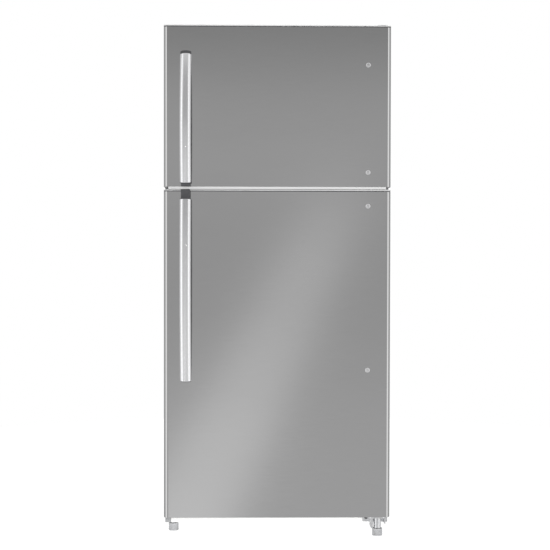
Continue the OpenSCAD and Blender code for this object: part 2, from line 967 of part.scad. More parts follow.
module freezer_upper_bin() {
    color(clear)
        door_bin(1426, 100, bin_back);
}

module freezer_lower_bin() {
    color(clear)
        door_bin(1238, 100, bin_back);
}

module middle_bin() {
    color(clear)
        door_bin(536, 110, bin_back);
}

module lower_bin() {
    color(clear)
        door_bin(166, 130, bin_back);
}

module dairy_bin() {
    y0 = door_back + fit;
    color(clear) {
        tray([-bin_x, y0, dairy_z], [bin_x, bin_back - 14, dairy_z + 62], plastic_t, 12);
        // End walls that carry the flap's pins, and a roof
        for (side = [-1, 1])
            difference() {
                box([side > 0 ? bin_x - plastic_t : -bin_x, y0, dairy_z + 40],
                    [side > 0 ? bin_x : -bin_x + plastic_t, dairy_roof_back, dairy_top]);
                rod_x(side * bin_x - 5, side * bin_x + 5, flap_pin[0], flap_pin[1], flap_pin_r + run_fit);
            }
        box([-bin_x, y0, dairy_top - plastic_t], [bin_x, dairy_roof_back, dairy_top]);
    }
}

// Curved cover of the dairy bin, hung on two pins at the middle of its curve
module dairy_flap() {
    far = 2 * flap_r;
    color(clear)
        translate([0, flap_pin[0], flap_pin[1]]) {
            difference() {
                rod_x(-flap_x, flap_x, 0, 0, flap_r);
                rod_x(-flap_x + plastic_t, flap_x - plastic_t, 0, 0, flap_r - plastic_t);
                // Above and below the span, keeping a hub round the pins
                rotate([flap_up, 0, 0])
                    box([-far * 3, -far, 0], [far * 3, far, far]);
                rotate([-flap_down, 0, 0])
                    box([-far * 3, -far, -far], [far * 3, far, 0]);
            }
            for (x = [-flap_x, flap_x - plastic_t])
                rod_x(x, x + plastic_t, 0, 0, 8);
            for (x = [-flap_x - 5, flap_x - 1])
                rod_x(x, x + 6, 0, 0, flap_pin_r);
        }
}

outer_shell();
rear_panel();
cabinet_foam();
freezer_liner();
fresh_liner();
center_rail();
base_rail();
base_pan();
compressor();
compressor_mounts();
drain_pan();
machine_cover();
mains_inlet();
top_hinge();
top_hinge_cover();
middle_hinge();
bottom_hinge();
hinge_bolts();
evaporator_cover();
evaporator();
fan_motor();
freezer_shelf();
air_duct();
control_housing();
lamp_lens();
shelf_frames();
shelf_glass();
crisper_cover();
left_foot();
right_foot();
left_roller();
right_roller();
fan_blade();
temperature_knob();
freezer_knob();
door_switch();
left_crisper();
right_crisper();
freezer_skin();
freezer_door_foam();
freezer_door_liner();
freezer_caps();
freezer_gasket();
freezer_handle();
freezer_handle_mounts();
freezer_plugs();
freezer_upper_bin();
freezer_lower_bin();
fresh_skin();
fresh_door_foam();
fresh_door_liner();
fresh_caps();
fresh_gasket();
fresh_handle();
fresh_handle_mounts();
fresh_plugs();
dairy_bin();
middle_bin();
lower_bin();
dairy_flap();
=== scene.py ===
import json
import math

import bmesh
import bpy
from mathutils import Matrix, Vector

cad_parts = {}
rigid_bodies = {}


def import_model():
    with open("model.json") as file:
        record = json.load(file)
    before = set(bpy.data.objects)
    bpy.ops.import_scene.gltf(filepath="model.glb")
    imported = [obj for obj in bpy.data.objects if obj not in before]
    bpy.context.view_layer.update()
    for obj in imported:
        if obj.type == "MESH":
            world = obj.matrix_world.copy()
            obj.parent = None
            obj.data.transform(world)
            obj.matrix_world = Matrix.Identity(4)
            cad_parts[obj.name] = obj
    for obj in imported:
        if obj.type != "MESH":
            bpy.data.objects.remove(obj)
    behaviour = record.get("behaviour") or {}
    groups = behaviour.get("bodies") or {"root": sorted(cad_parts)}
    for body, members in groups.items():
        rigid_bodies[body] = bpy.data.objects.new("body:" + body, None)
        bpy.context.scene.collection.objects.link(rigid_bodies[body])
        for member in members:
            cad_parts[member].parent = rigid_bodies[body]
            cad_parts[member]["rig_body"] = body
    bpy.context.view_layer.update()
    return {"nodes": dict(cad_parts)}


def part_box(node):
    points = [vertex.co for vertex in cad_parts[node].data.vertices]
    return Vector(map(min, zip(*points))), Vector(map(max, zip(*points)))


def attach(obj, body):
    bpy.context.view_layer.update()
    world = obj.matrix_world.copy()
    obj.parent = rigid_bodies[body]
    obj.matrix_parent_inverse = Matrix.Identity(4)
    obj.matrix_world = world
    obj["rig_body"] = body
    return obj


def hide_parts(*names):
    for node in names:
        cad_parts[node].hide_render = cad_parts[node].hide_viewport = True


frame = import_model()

bl_info = {
    "name": "Top freezer refrigerator",
    "version": (1, 0, 0),
    "blender": (4, 5, 0),
    "location": "View3D > Sidebar > Refrigerator",
    "description": "Detailed pieces, finishes and a studio for a two-door refrigerator",
    "category": "Object",
}

MM = 0.001
NODES = frame["nodes"]
DOORS = ("freezer", "fresh")


def mm(*values):
    """A point or size given in millimetres, in metres."""
    return Vector(values) * MM


# ---- Modelling ----


def clear_selection():
    if bpy.context.mode != "OBJECT":
        bpy.ops.object.mode_set(mode="OBJECT")
    bpy.ops.object.select_all(action="DESELECT")


def take(*objects):
    """Selects these objects alone; the last one is active."""
    clear_selection()
    for obj in objects:
        obj.select_set(True)
    bpy.context.view_layer.objects.active = objects[-1]


def settle(obj):
    """Moves the object's place, turn and scale into its mesh."""
    take(obj)
    bpy.ops.object.transform_apply(location=True, rotation=True, scale=True)
    return obj


def added(name):
    obj = bpy.context.object
    obj.name = obj.data.name = name
    return obj


def block(name, low, high):
    clear_selection()
    low, high = Vector(low), Vector(high)
    bpy.ops.mesh.primitive_cube_add(size=1, location=(low + high) / 2)
    obj = added(name)
    obj.scale = high - low
    return settle(obj)


def rod(name, start, end, radius, sides=32):
    clear_selection()
    start, end = Vector(start), Vector(end)
    along = end - start
    bpy.ops.mesh.primitive_cylinder_add(
        vertices=sides,
        radius=radius,
        depth=along.length,
        location=(start + end) / 2,
        rotation=along.to_track_quat("Z", "Y").to_euler(),
    )
    return settle(added(name))


def edit(obj):
    take(obj)
    bpy.ops.object.mode_set(mode="EDIT")
    bpy.ops.mesh.select_mode(type="FACE")
    bpy.ops.mesh.select_all(action="SELECT")


def done():
    bpy.ops.object.mode_set(mode="OBJECT")


def pick(obj, test, kind="FACE"):
    """In edit mode, selects the faces or edges whose middle and normal or direction pass the test."""
    bpy.ops.mesh.select_mode(type=kind)
    bpy.ops.mesh.select_all(action="DESELECT")
    shape = bmesh.from_edit_mesh(obj.data)
    shape.normal_update()
    if kind == "FACE":
        for face in shape.faces:
            face.select_set(bool(test(face.calc_center_median(), face.normal)))
    else:
        for edge in shape.edges:
            a, b = (v.co for v in edge.verts)
            edge.select_set(bool(test((a + b) / 2, (b - a).normalized())))
    shape.select_flush(True)
    bmesh.update_edit_mesh(obj.data)


def cut(obj, **planes):
    """Cuts the whole mesh along planes given as x=(...), y=(...) or z=(...)."""
    for axis, places in planes.items():
        normal = [float(axis == name) for name in "xyz"]
        for place in places:
            bpy.ops.mesh.select_all(action="SELECT")
            bpy.ops.mesh.bisect(plane_co=[place * n for n in normal], plane_no=normal)


def push(by):
    bpy.ops.mesh.extrude_region_move(TRANSFORM_OT_translate={"value": by})


def face_out():
    bpy.ops.mesh.select_all(action="SELECT")
    bpy.ops.mesh.remove_doubles(threshold=2e-6)
    bpy.ops.mesh.normals_make_consistent(inside=False)


def modify(obj, kind, **settings):
    """Adds a modifier and applies it."""
    take(obj)
    bpy.ops.object.modifier_add(type=kind)
    modifier = obj.modifiers[-1]
    for key, value in settings.items():
        setattr(modifier, key, value)
    bpy.ops.object.modifier_apply(modifier=modifier.name)


def smooth(obj, angle=40):
    take(obj)
    bpy.ops.object.shade_smooth_by_angle(angle=math.radians(angle))
    return obj


def soften(obj, width, segments=2, angle=35):
    """Rounds every edge sharper than the angle."""
    modify(
        obj,
        "BEVEL",
        width=width,
        segments=segments,
        limit_method="ANGLE",
        angle_limit=math.radians(angle),
        miter_outer="MITER_ARC",
    )
    smooth(obj)
    # Keeps the shading of the large faces flat
    modify(obj, "WEIGHTED_NORMAL", weight=100, keep_sharp=True)
    return obj


def joined(name, pieces):
    take(*pieces)
    if len(pieces) > 1:
        bpy.ops.object.join()
    return added(name)


def copies(name, model, places):
    """Copies of the model, moved by each of the places and joined; the model is used up."""
    made = []
    for place in places:
        take(model)
        bpy.ops.object.duplicate(linked=False)
        copy = bpy.context.object
        copy.location = place
        made.append(settle(copy))
    bpy.data.objects.remove(model)
    return joined(name, made)


def tube(name, points, radius, sides=12):
    """A bent pipe through these points, with round corners."""
    clear_selection()
    bpy.ops.curve.primitive_nurbs_path_add()
    obj = added(name)
    obj.data.splines.clear()
    line = obj.data.splines.new("NURBS")
    line.points.add(len(points) - 1)
    for point, place in zip(line.points, points):
        point.co = (*place, 1)
    line.order_u = 3
    line.use_endpoint_u = True
    obj.data.resolution_u = 6
    obj.data.bevel_depth = radius
    obj.data.bevel_resolution = sides // 4
    obj.data.use_fill_caps = True
    take(obj)
    bpy.ops.object.convert(target="MESH")
    return smooth(settle(bpy.context.object), 60)


def hand_over(obj, body, finish, *replaced):
    """Gives the piece its finish, the body it rides on and the nodes it stands for."""
    obj.data.materials.clear()
    obj.data.materials.append(FINISHES[finish]())
    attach(obj, body)
    if replaced:
        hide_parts(*replaced)
    return obj


def body_of(node):
    return NODES[node]["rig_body"]


def softened(node, name, width, finish, segments=2, flat=0.2):
    """A copy of a node with merged faces and rounded edges, which stands for it."""
    obj = bpy.data.objects.new(name, NODES[node].data.copy())
    bpy.context.scene.collection.objects.link(obj)
    obj.data.name = name
    edit(obj)
    bpy.ops.mesh.remove_doubles(threshold=2e-6)
    bpy.ops.mesh.dissolve_limited(angle_limit=math.radians(flat))
    done()
    if width:
        soften(obj, width * MM, segments)
    else:
        smooth(obj)
    return hand_over(obj, body_of(node), finish, node)


# ---- Finishes ----


class Wire:
    """A shader output that takes part in Python sums."""

    def __init__(self, graph, socket):
        self.graph = graph
        self.socket = socket

    def sum_of(self, operation, *values):
        return self.graph.add("ShaderNodeMath", {"operation": operation}, dict(enumerate(values)))

    def __add__(self, other):
        return self.sum_of("ADD", self, other)

    __radd__ = __add__

    def __sub__(self, other):
        return self.sum_of("SUBTRACT", self, other)

    def __rsub__(self, other):
        return self.sum_of("SUBTRACT", other, self)

    def __mul__(self, other):
        return self.sum_of("MULTIPLY", self, other)

    __rmul__ = __mul__

    def __truediv__(self, other):
        return self.sum_of("DIVIDE", self, other)

    def __abs__(self):
        return self.sum_of("ABSOLUTE", self)

    def over(self, other):
        return self.sum_of("MAXIMUM", self, other)

    def step(self, low, high):
        """0 below low and 1 above high, with a soft passage between; low may be above high."""
        sockets = {"Value": self, "From Min": low, "From Max": high}
        return self.graph.add("ShaderNodeMapRange", {"interpolation_type": "SMOOTHSTEP"}, sockets)


class Graph:
    """Nodes of a material or of the world."""

    def __init__(self, owner):
        owner.use_nodes = True
        self.owner = owner
        self.tree = owner.node_tree
        self.tree.nodes.clear()

    def add(self, kind, settings=None, sockets=None, output=0):
        node = self.tree.nodes.new(kind)
        settings = dict(settings or {})
        stops = settings.pop("stops", ())
        for key, value in settings.items():
            setattr(node, key, value)
        for index, (place, colour) in enumerate(stops):
            ramp = node.color_ramp.elements
            stop = ramp[index] if index < len(ramp) else ramp.new(place)
            stop.position = place
            stop.color = (*colour, 1)
        for key, value in (sockets or {}).items():
            if isinstance(value, Wire):
                self.tree.links.new(value.socket, node.inputs[key])
            else:
                node.inputs[key].default_value = value
        return Wire(self, node.outputs[output])

    def grain(self, scale, stretch=(1, 1, 1), detail=3.0, rough=0.5):
        """Noise of that many cells a metre, stretched along the axes."""
        place = self.add("ShaderNodeTexCoord", output="Object")
        placed = self.add("ShaderNodeMapping", None, {"Vector": place, "Scale": stretch})
        sockets = {"Vector": placed, "Scale": scale, "Detail": detail, "Roughness": rough}
        return self.add("ShaderNodeTexNoise", None, sockets)

    def cells(self, scale, output="Distance", feature="F1"):
        place = self.add("ShaderNodeTexCoord", output="Object")
        return self.add("ShaderNodeTexVoronoi", {"feature": feature}, {"Vector": place, "Scale": scale}, output)

    def between(self, factor, low, high):
        """A colour between two others."""
        low, high = ((*colour, 1) if isinstance(colour, tuple) else colour for colour in (low, high))
        return self.add("ShaderNodeMix", {"data_type": "RGBA"}, {0: factor, 6: low, 7: high}, 2)

    def bump(self, height, strength, distance):
        return self.add("ShaderNodeBump", None, {"Height": height, "Strength": strength, "Distance": distance})

    def shader(self, **sockets):
        """The surface; an underscore in a name stands for a space."""
        values = {key.replace("_", " ").title().replace("Ior", "IOR"): value for key, value in sockets.items()}
        surface = self.add("ShaderNodeBsdfPrincipled", None, values, "BSDF")
        self.add_output(surface)
        return self.owner

    def add_output(self, surface, kind="ShaderNodeOutputMaterial"):
        node = self.tree.nodes.new(kind)
        self.tree.links.new(surface.socket, node.inputs["Surface"])


def tint(colour, factor):
    return tuple(min(1.0, part * factor) for part in colour[:3])


def finish(name):
    """Marks a function as the maker of the finish of that name, run once when first asked for."""

    def keep(make):
        def once():
            # The CAD's own plain materials already have some of these names
            label = f"fridge_{name}"
            material = bpy.data.materials.get(label)
            return material or make(Graph(bpy.data.materials.new(label)))

        FINISHES[name] = once
        return once

    return keep


FINISHES = {}


def settings():
    return bpy.context.scene.fridge_finishes


@finish("brushed_steel")
def brushed_steel(graph):
    fine = graph.grain(60.0, (0.25, 0.25, 22.0), 4.0, 0.7)
    broad = graph.grain(2.2, (1.0, 1.0, 2.5), 2.0)
    colour = settings().steel
    shade = fine * 0.75 + broad * 0.25
    return graph.shader(
        base_color=graph.between(shade, tint(colour, 0.88), tint(colour, 1.12)),
        metallic=1.0,
        roughness=0.085 + fine * 0.05,
        anisotropic=0.5,
        anisotropic_rotation=0.25,
        normal=graph.bump(fine, 0.06, 0.0002),
    )


@finish("satin_silver")
def satin_silver(graph):
    fine = graph.grain(420.0, detail=4.0)
    rub = graph.grain(9.0, (1.0, 1.0, 0.3), 3.0)
    return graph.shader(
        base_color=graph.between(rub, (0.8, 0.8, 0.82), (0.9, 0.9, 0.91)),
        metallic=0.9,
        roughness=0.2 + fine * 0.08,
        normal=graph.bump(fine, 0.08, 0.0001),
    )


@finish("plug_metal")
def plug_metal(graph):
    fine = graph.grain(900.0, detail=2.0)
    return graph.shader(
        base_color=graph.between(fine, (0.84, 0.84, 0.85), (0.94, 0.94, 0.95)),
        metallic=1.0,
        roughness=0.12 + fine * 0.08,
    )


@finish("side_paint")
def side_paint(graph):
    pebbles = graph.cells(520.0, feature="SMOOTH_F1")
    cloud = graph.grain(3.0, detail=3.0)
    colour = settings().side_paint
    return graph.shader(
        base_color=graph.between(cloud, tint(colour, 0.95), tint(colour, 1.05)),
        roughness=0.4 + pebbles * 0.15,
        coat_weight=0.15,
        normal=graph.bump(pebbles, 0.35, 0.0004),
    )


@finish("white_enamel")
def white_enamel(graph):
    peel = graph.grain(260.0, detail=2.0)
    cloud = graph.grain(5.0)
    return graph.shader(
        base_color=graph.between(cloud, (0.76, 0.76, 0.755), (0.82, 0.82, 0.81)),
        roughness=0.28 + peel * 0.1,
        coat_weight=0.4,
        normal=graph.bump(peel, 0.12, 0.0003),
    )


@finish("zinc")
def zinc(graph):
    spangle = graph.cells(190.0, "Color")
    fine = graph.grain(700.0, detail=2.0)
    flakes = graph.add("ShaderNodeSeparateColor", None, {0: spangle})
    return graph.shader(
        base_color=graph.between(flakes, (0.756, 0.769, 0.793), (0.93, 0.93, 0.93)),
        metallic=1.0,
        roughness=0.26 + flakes * 0.12 + fine * 0.05,
        normal=graph.bump(fine, 0.08, 0.0002),
    )


@finish("back_sheet")
def back_sheet(graph):
    spangle = graph.cells(75.0, "Color")
    flakes = graph.add("ShaderNodeSeparateColor", None, {0: spangle})
    stain = graph.grain(4.0, (1.0, 1.0, 0.5), 4.0)
    return graph.shader(
        base_color=graph.between(flakes * 0.6 + stain * 0.4, (0.5, 0.51, 0.52), (0.72, 0.73, 0.74)),
        metallic=0.85,
        roughness=0.36 + flakes * 0.14,
        normal=graph.bump(stain, 0.1, 0.002),
    )


@finish("liner_gloss")
def liner_gloss(graph):
    peel = graph.grain(110.0, detail=2.0)
    cloud = graph.grain(4.0)
    colour = settings().liner
    return graph.shader(
        base_color=graph.between(cloud, tint(colour, 0.97), tint(colour, 1.02)),
        roughness=0.2 + peel * 0.1,
        coat_weight=0.25,
        normal=graph.bump(peel, 0.1, 0.0006),
    )


@finish("white_plastic")
def white_plastic(graph):
    grain = graph.grain(1400.0, detail=2.0)
    cloud = graph.grain(9.0)
    return graph.shader(
        base_color=graph.between(cloud, (0.8, 0.8, 0.79), (0.87, 0.87, 0.86)),
        roughness=0.36 + grain * 0.14,
        normal=graph.bump(grain, 0.15, 0.00015),
    )


@finish("cap_plastic")
def cap_plastic(graph):
    grain = graph.grain(1100.0, detail=2.0)
    cloud = graph.grain(11.0)
    return graph.shader(
        base_color=graph.between(cloud, (0.58, 0.58, 0.58), (0.64, 0.64, 0.64)),
        roughness=0.42 + grain * 0.14,
        normal=graph.bump(grain, 0.2, 0.00015),
    )


@finish("black_zinc")
def black_zinc(graph):
    worn = graph.grain(120.0, detail=4.0)
    return graph.shader(
        base_color=graph.between(worn, (0.07, 0.07, 0.072), (0.15, 0.15, 0.155)),
        metallic=0.7,
        roughness=0.34 + worn * 0.16,
    )


@finish("dark_plastic")
def dark_plastic(graph):
    grain = graph.cells(1300.0, feature="SMOOTH_F1")
    scuff = graph.grain(40.0, detail=5.0)
    return graph.shader(
        base_color=graph.between(scuff, (0.045, 0.045, 0.048), (0.085, 0.085, 0.09)),
        roughness=0.4 + grain * 0.2,
        normal=graph.bump(grain, 0.3, 0.0002),
    )


@finish("cover_board")
def cover_board(graph):
    fibre = graph.grain(600.0, (1.0, 1.0, 0.4), 4.0)
    blotch = graph.grain(18.0, detail=4.0)
    return graph.shader(
        base_color=graph.between(blotch, (0.06, 0.062, 0.066), (0.12, 0.122, 0.128)),
        roughness=0.55 + fibre * 0.2,
        normal=graph.bump(fibre, 0.35, 0.0004),
    )


@finish("clear_styrene")
def clear_styrene(graph):
    edge = graph.add("ShaderNodeLayerWeight", None, {"Blend": 0.35}, "Facing")
    haze = graph.grain(14.0, detail=4.0)
    return graph.shader(
        base_color=graph.between(edge, (0.95, 0.98, 0.99), (0.68, 0.8, 0.87)),
        roughness=0.06 + haze * 0.1,
        transmission_weight=0.86,
        ior=1.2,
    )


@finish("shelf_glass")
def shelf_glass(graph):
    edge = graph.add("ShaderNodeLayerWeight", None, {"Blend": 0.5}, "Facing")
    smear = graph.grain(7.0, detail=4.0)
    return graph.shader(
        base_color=graph.between(edge, (0.9, 0.97, 0.95), (0.3, 0.62, 0.54)),
        roughness=0.02 + smear * 0.05,
        transmission_weight=0.9,
        ior=1.25,
    )


@finish("foam")
def foam(graph):
    pores = graph.cells(900.0)
    swell = graph.grain(25.0, detail=4.0)
    return graph.shader(
        base_color=graph.between(swell, (0.8, 0.7, 0.44), (0.9, 0.83, 0.6)),
        roughness=0.85,
        normal=graph.bump(pores + swell, 0.5, 0.0008),
    )


@finish("black_enamel")
def black_enamel(graph):
    peel = graph.grain(160.0, detail=3.0)
    dust = graph.grain(35.0, detail=5.0)
    return graph.shader(
        base_color=graph.between(dust.step(0.5, 0.75), (0.012, 0.012, 0.013), (0.05, 0.05, 0.048)),
        roughness=0.22 + dust * 0.25,
        coat_weight=0.4,
        normal=graph.bump(peel, 0.2, 0.0006),
    )


@finish("black_rubber")
def black_rubber(graph):
    grain = graph.grain(800.0, detail=3.0)
    return graph.shader(
        base_color=graph.between(grain, (0.02, 0.02, 0.021), (0.045, 0.045, 0.046)),
        roughness=0.65 + grain * 0.2,
        normal=graph.bump(grain, 0.3, 0.0002),
    )


@finish("bare_aluminium")
def bare_aluminium(graph):
    rolled = graph.grain(80.0, (1.0, 1.0, 14.0), 4.0)
    return graph.shader(
        base_color=graph.between(rolled, (0.74, 0.75, 0.77), (0.88, 0.89, 0.9)),
        metallic=1.0,
        roughness=0.24 + rolled * 0.16,
    )


@finish("gasket_vinyl")
def gasket_vinyl(graph):
    grain = graph.grain(500.0, detail=2.0)
    cloud = graph.grain(12.0)
    return graph.shader(
        base_color=graph.between(cloud, (0.56, 0.56, 0.56), (0.66, 0.66, 0.65)),
        roughness=0.45 + grain * 0.15,
        normal=graph.bump(grain, 0.2, 0.0002),
    )


@finish("foot_plastic")
def foot_plastic(graph):
    grain = graph.grain(900.0, detail=2.0)
    dirt = graph.grain(60.0, detail=5.0)
    return graph.shader(
        base_color=graph.between(dirt.step(0.45, 0.8), (0.46, 0.465, 0.475), (0.38, 0.38, 0.38)),
        roughness=0.38 + grain * 0.15,
        normal=graph.bump(grain, 0.15, 0.0002),
    )


@finish("coated_wire")
def coated_wire(graph):
    peel = graph.grain(300.0, detail=2.0)
    return graph.shader(
        base_color=graph.between(peel, (0.82, 0.82, 0.82), (0.9, 0.9, 0.9)),
        roughness=0.26 + peel * 0.1,
        coat_weight=0.5,
    )


@finish("copper")
def copper(graph):
    tarnish = graph.grain(30.0, detail=5.0)
    return graph.shader(
        base_color=graph.between(tarnish.step(0.35, 0.7), (0.93, 0.52, 0.36), (0.5, 0.26, 0.16)),
        metallic=1.0,
        roughness=0.24 + tarnish * 0.2,
    )


# ---- Sizes and colours ----


class FridgeFinishes(bpy.types.PropertyGroup):
    """Colours of the main surfaces"""

    steel: bpy.props.FloatVectorProperty(
        name="Door steel", description="Colour of the brushed doors", subtype="COLOR", default=(0.567, 0.567, 0.568)
    )
    side_paint: bpy.props.FloatVectorProperty(
        name="Side paint", description="Colour of the cabinet's painted wrap", subtype="COLOR", default=(0.3, 0.305, 0.31)
    )
    liner: bpy.props.FloatVectorProperty(
        name="Liner", description="Colour of the moulded liners", subtype="COLOR", default=(0.84, 0.845, 0.84)
    )


class FridgeSizes(bpy.types.PropertyGroup):
    """Sizes of the detailed pieces"""

    liner_corner: bpy.props.FloatProperty(
        name="Liner corner", description="Radius of the liners' corners", unit="LENGTH", default=18 * MM
    )
    border_round: bpy.props.FloatProperty(
        name="Door border rounding", description="Rounding of a door's raised border", unit="LENGTH", default=7 * MM
    )
    bar_depth: bpy.props.FloatProperty(
        name="Handle depth", description="Thickness of a handle at its crown", unit="LENGTH", default=11 * MM
    )
    freezer_bow: bpy.props.FloatProperty(
        name="Freezer handle bow", description="Radius of the upper handle's bow", unit="LENGTH", default=0.8
    )
    fresh_bow: bpy.props.FloatProperty(
        name="Fresh handle bow", description="Radius of the lower handle's bow", unit="LENGTH", default=2.0
    )
    door_bend: bpy.props.FloatProperty(
        name="Door bend", description="Radius of a door's front edges", unit="LENGTH", default=16 * MM
    )
    plug_radius: bpy.props.FloatProperty(
        name="Plug radius", description="Radius of the plugs in the spare handle holes", unit="LENGTH", default=8 * MM
    )


class FridgeStudio(bpy.types.PropertyGroup):
    """Light and camera"""

    front_light: bpy.props.FloatProperty(
        name="Front light", description="Power of the lamp beside the camera", unit="POWER", default=230.0
    )
    room: bpy.props.FloatProperty(
        name="Room", description="Brightness that falls on matt surfaces from behind", default=0.85
    )
    lens: bpy.props.FloatProperty(
        name="Lens", description="Focal length", unit="CAMERA", default=79.97
    )


def sizes():
    return bpy.context.scene.fridge_sizes


# ---- Pieces ----


class Piece(bpy.types.Operator):
    """Base of the operators that make pieces"""

    bl_options = {"REGISTER", "UNDO"}

    def execute(self, context):
        self.make()
        return {"FINISHED"}


class FRIDGE_OT_shell(Piece):
    """Steel cabinet, its rails, pans and rear covers with folded, rounded edges"""

    bl_idname = "fridge.shell"
    bl_label = "Cabinet shell"

    def make(self):
        softened("outer_shell", "cabinet_wrap", 0.7, "side_paint", 3)
        softened("rear_panel", "rear_sheet", 0.3, "back_sheet")
        softened("center_rail", "middle_rail", 0.3, "white_enamel")
        softened("base_rail", "bottom_rail", 0.3, "white_enamel")
        softened("base_pan", "machine_base", 0.4, "zinc")
        softened("machine_cover", "machine_back_board", 0, "cover_board")
        softened("mains_inlet", "cord_gland", 0.5, "dark_plastic", 3)


def ring_of(low, high, inner_low, inner_high):
    """Test for a face whose middle lies between an outer and an inner rectangle seen along Y."""

    def test(middle, normal):
        outside = not (inner_low.x < middle.x < inner_high.x and inner_low.z < middle.z < inner_high.z)
        return outside and low.x < middle.x < high.x and low.z < middle.z < high.z and abs(normal.y) > 0.9

    return test


class FRIDGE_OT_liners(Piece):
    """Vacuum-formed liners with round corners and a flange at the front"""

    bl_idname = "fridge.liners"
    bl_label = "Liners"

    wall = 1.5 * MM

    def make(self):
        corner = sizes().liner_corner
        for node in ("freezer_liner", "fresh_liner"):
            low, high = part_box(node)
            half = low.x + (high.x - low.x) / 2
            # The flange reaches further out than the space inside
            inside_low = Vector((-0.325, low.y, 1.191 if node == "freezer_liner" else 0.106))
            top = 1.6445 if node == "freezer_liner" else 1.121
            inside_high = Vector((0.325 + half, 0.32, top))
            self.space(node, inside_low, inside_high, corner, low, high)

    def space(self, node, low, high, corner, flange_low, flange_high):
        stepped = node == "fresh_liner"
        floor = 0.318 if stepped else low.z
        obj = block(node.replace("liner", "compartment"), (low.x, low.y, floor), high)
        edit(obj)
        if stepped:
            cut(obj, y=(0.138,))
            pick(obj, lambda middle, normal: normal.z < -0.9 and middle.y < 0.138)
            push((0, 0, low.z - floor))
        pick(obj, lambda middle, normal: normal.y < -0.9 and middle.y < low.y + MM)
        bpy.ops.mesh.delete(type="FACE")
        back = low.y + 2 * MM
        pick(obj, lambda middle, along: middle.y > back and abs(along.y) < 0.1 and not (
            stepped and abs(middle.y - 0.138) < MM and abs(along.x) > 0.9 and middle.z > floor - MM
        ) and not (abs(middle.y - 0.138) < MM and abs(middle.z - high.z) < MM), "EDGE")
        bpy.ops.mesh.bevel(offset=corner * 0.55, segments=4, affect="EDGES")
        pick(obj, lambda middle, along: abs(along.y) > 0.9 and middle.z > high.z - MM, "EDGE")
        bpy.ops.mesh.bevel(offset=corner, segments=6, affect="EDGES")
        pick(obj, lambda middle, along: abs(along.y) > 0.9 and middle.z < low.z + MM
             and abs(middle.x) > high.x - MM, "EDGE")
        bpy.ops.mesh.bevel(offset=corner, segments=6, affect="EDGES")
        # Flange round the opening
        pick(obj, lambda middle, along: middle.y < low.y + 0.5 * MM and abs(along.y) < 0.5, "EDGE")
        bpy.ops.mesh.extrude_edges_move(TRANSFORM_OT_translate={"value": (0, 0, 0)})
        centre = (low + high) / 2
        reach = (flange_high - flange_low) / 2 - mm(0.4, 0, 0.1)
        middle_z = (flange_high.z + flange_low.z) / 2
        bpy.ops.transform.resize(
            value=(reach.x / (high.x - centre.x), 1, reach.z / (high.z - centre.z)),
            center_override=(centre.x, low.y, centre.z),
        )
        bpy.ops.transform.translate(value=(0, 0, middle_z - centre.z))
        done()
        self.inward(obj, centre)
        modify(obj, "SOLIDIFY", thickness=self.wall, offset=-1.0)
        # The wall grows outwards, so its flange stays behind the front plane
        obj.location.y = flange_low.y - min(v.co.y for v in obj.data.vertices)
        settle(obj)
        soften(obj, 0.3 * MM, 1)
        hand_over(obj, "cabinet", "liner_gloss", node)

    def inward(self, obj, centre):
        """Turns the open shell's faces towards the middle of the space."""
        edit(obj)
        bpy.ops.mesh.normals_make_consistent(inside=False)
        shape = bmesh.from_edit_mesh(obj.data)
        shape.normal_update()
        back = max(shape.faces, key=lambda face: face.calc_center_median().y)
        if back.normal.y > 0:
            bpy.ops.mesh.flip_normals()
        done()


class FRIDGE_OT_ledges(Piece):
    """Moulded ledges on the liner's side walls, under the ends of the shelves"""

    bl_idname = "fridge.ledges"
    bl_label = "Shelf ledges"

    def make(self):
        low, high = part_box("shelf_frames")
        levels = (low.z, (low.z + high.z - 16 * MM) / 2, high.z - 16 * MM)
        model = block("ledge", (0, -0.105, -0.011), (0.014, 0.27, -0.0005))
        edit(model)
        pick(model, lambda middle, normal: normal.x > 0.9)
        bpy.ops.transform.resize(value=(1, 0.96, 0.5))
        done()
        soften(model, 2.5 * MM, 3)
        take(model)
        bpy.ops.object.duplicate(linked=False)
        mirror = bpy.context.object
        mirror.scale.x = -1
        settle(mirror)
        edit(mirror)
        face_out()
        done()
        wall = 0.3245
        left = copies("ledges_left", model, [(-wall, 0, z) for z in levels])
        right = copies("ledges_right", mirror, [(wall, 0, z) for z in levels])
        for obj in (left, right):
            hand_over(obj, "cabinet", "liner_gloss")


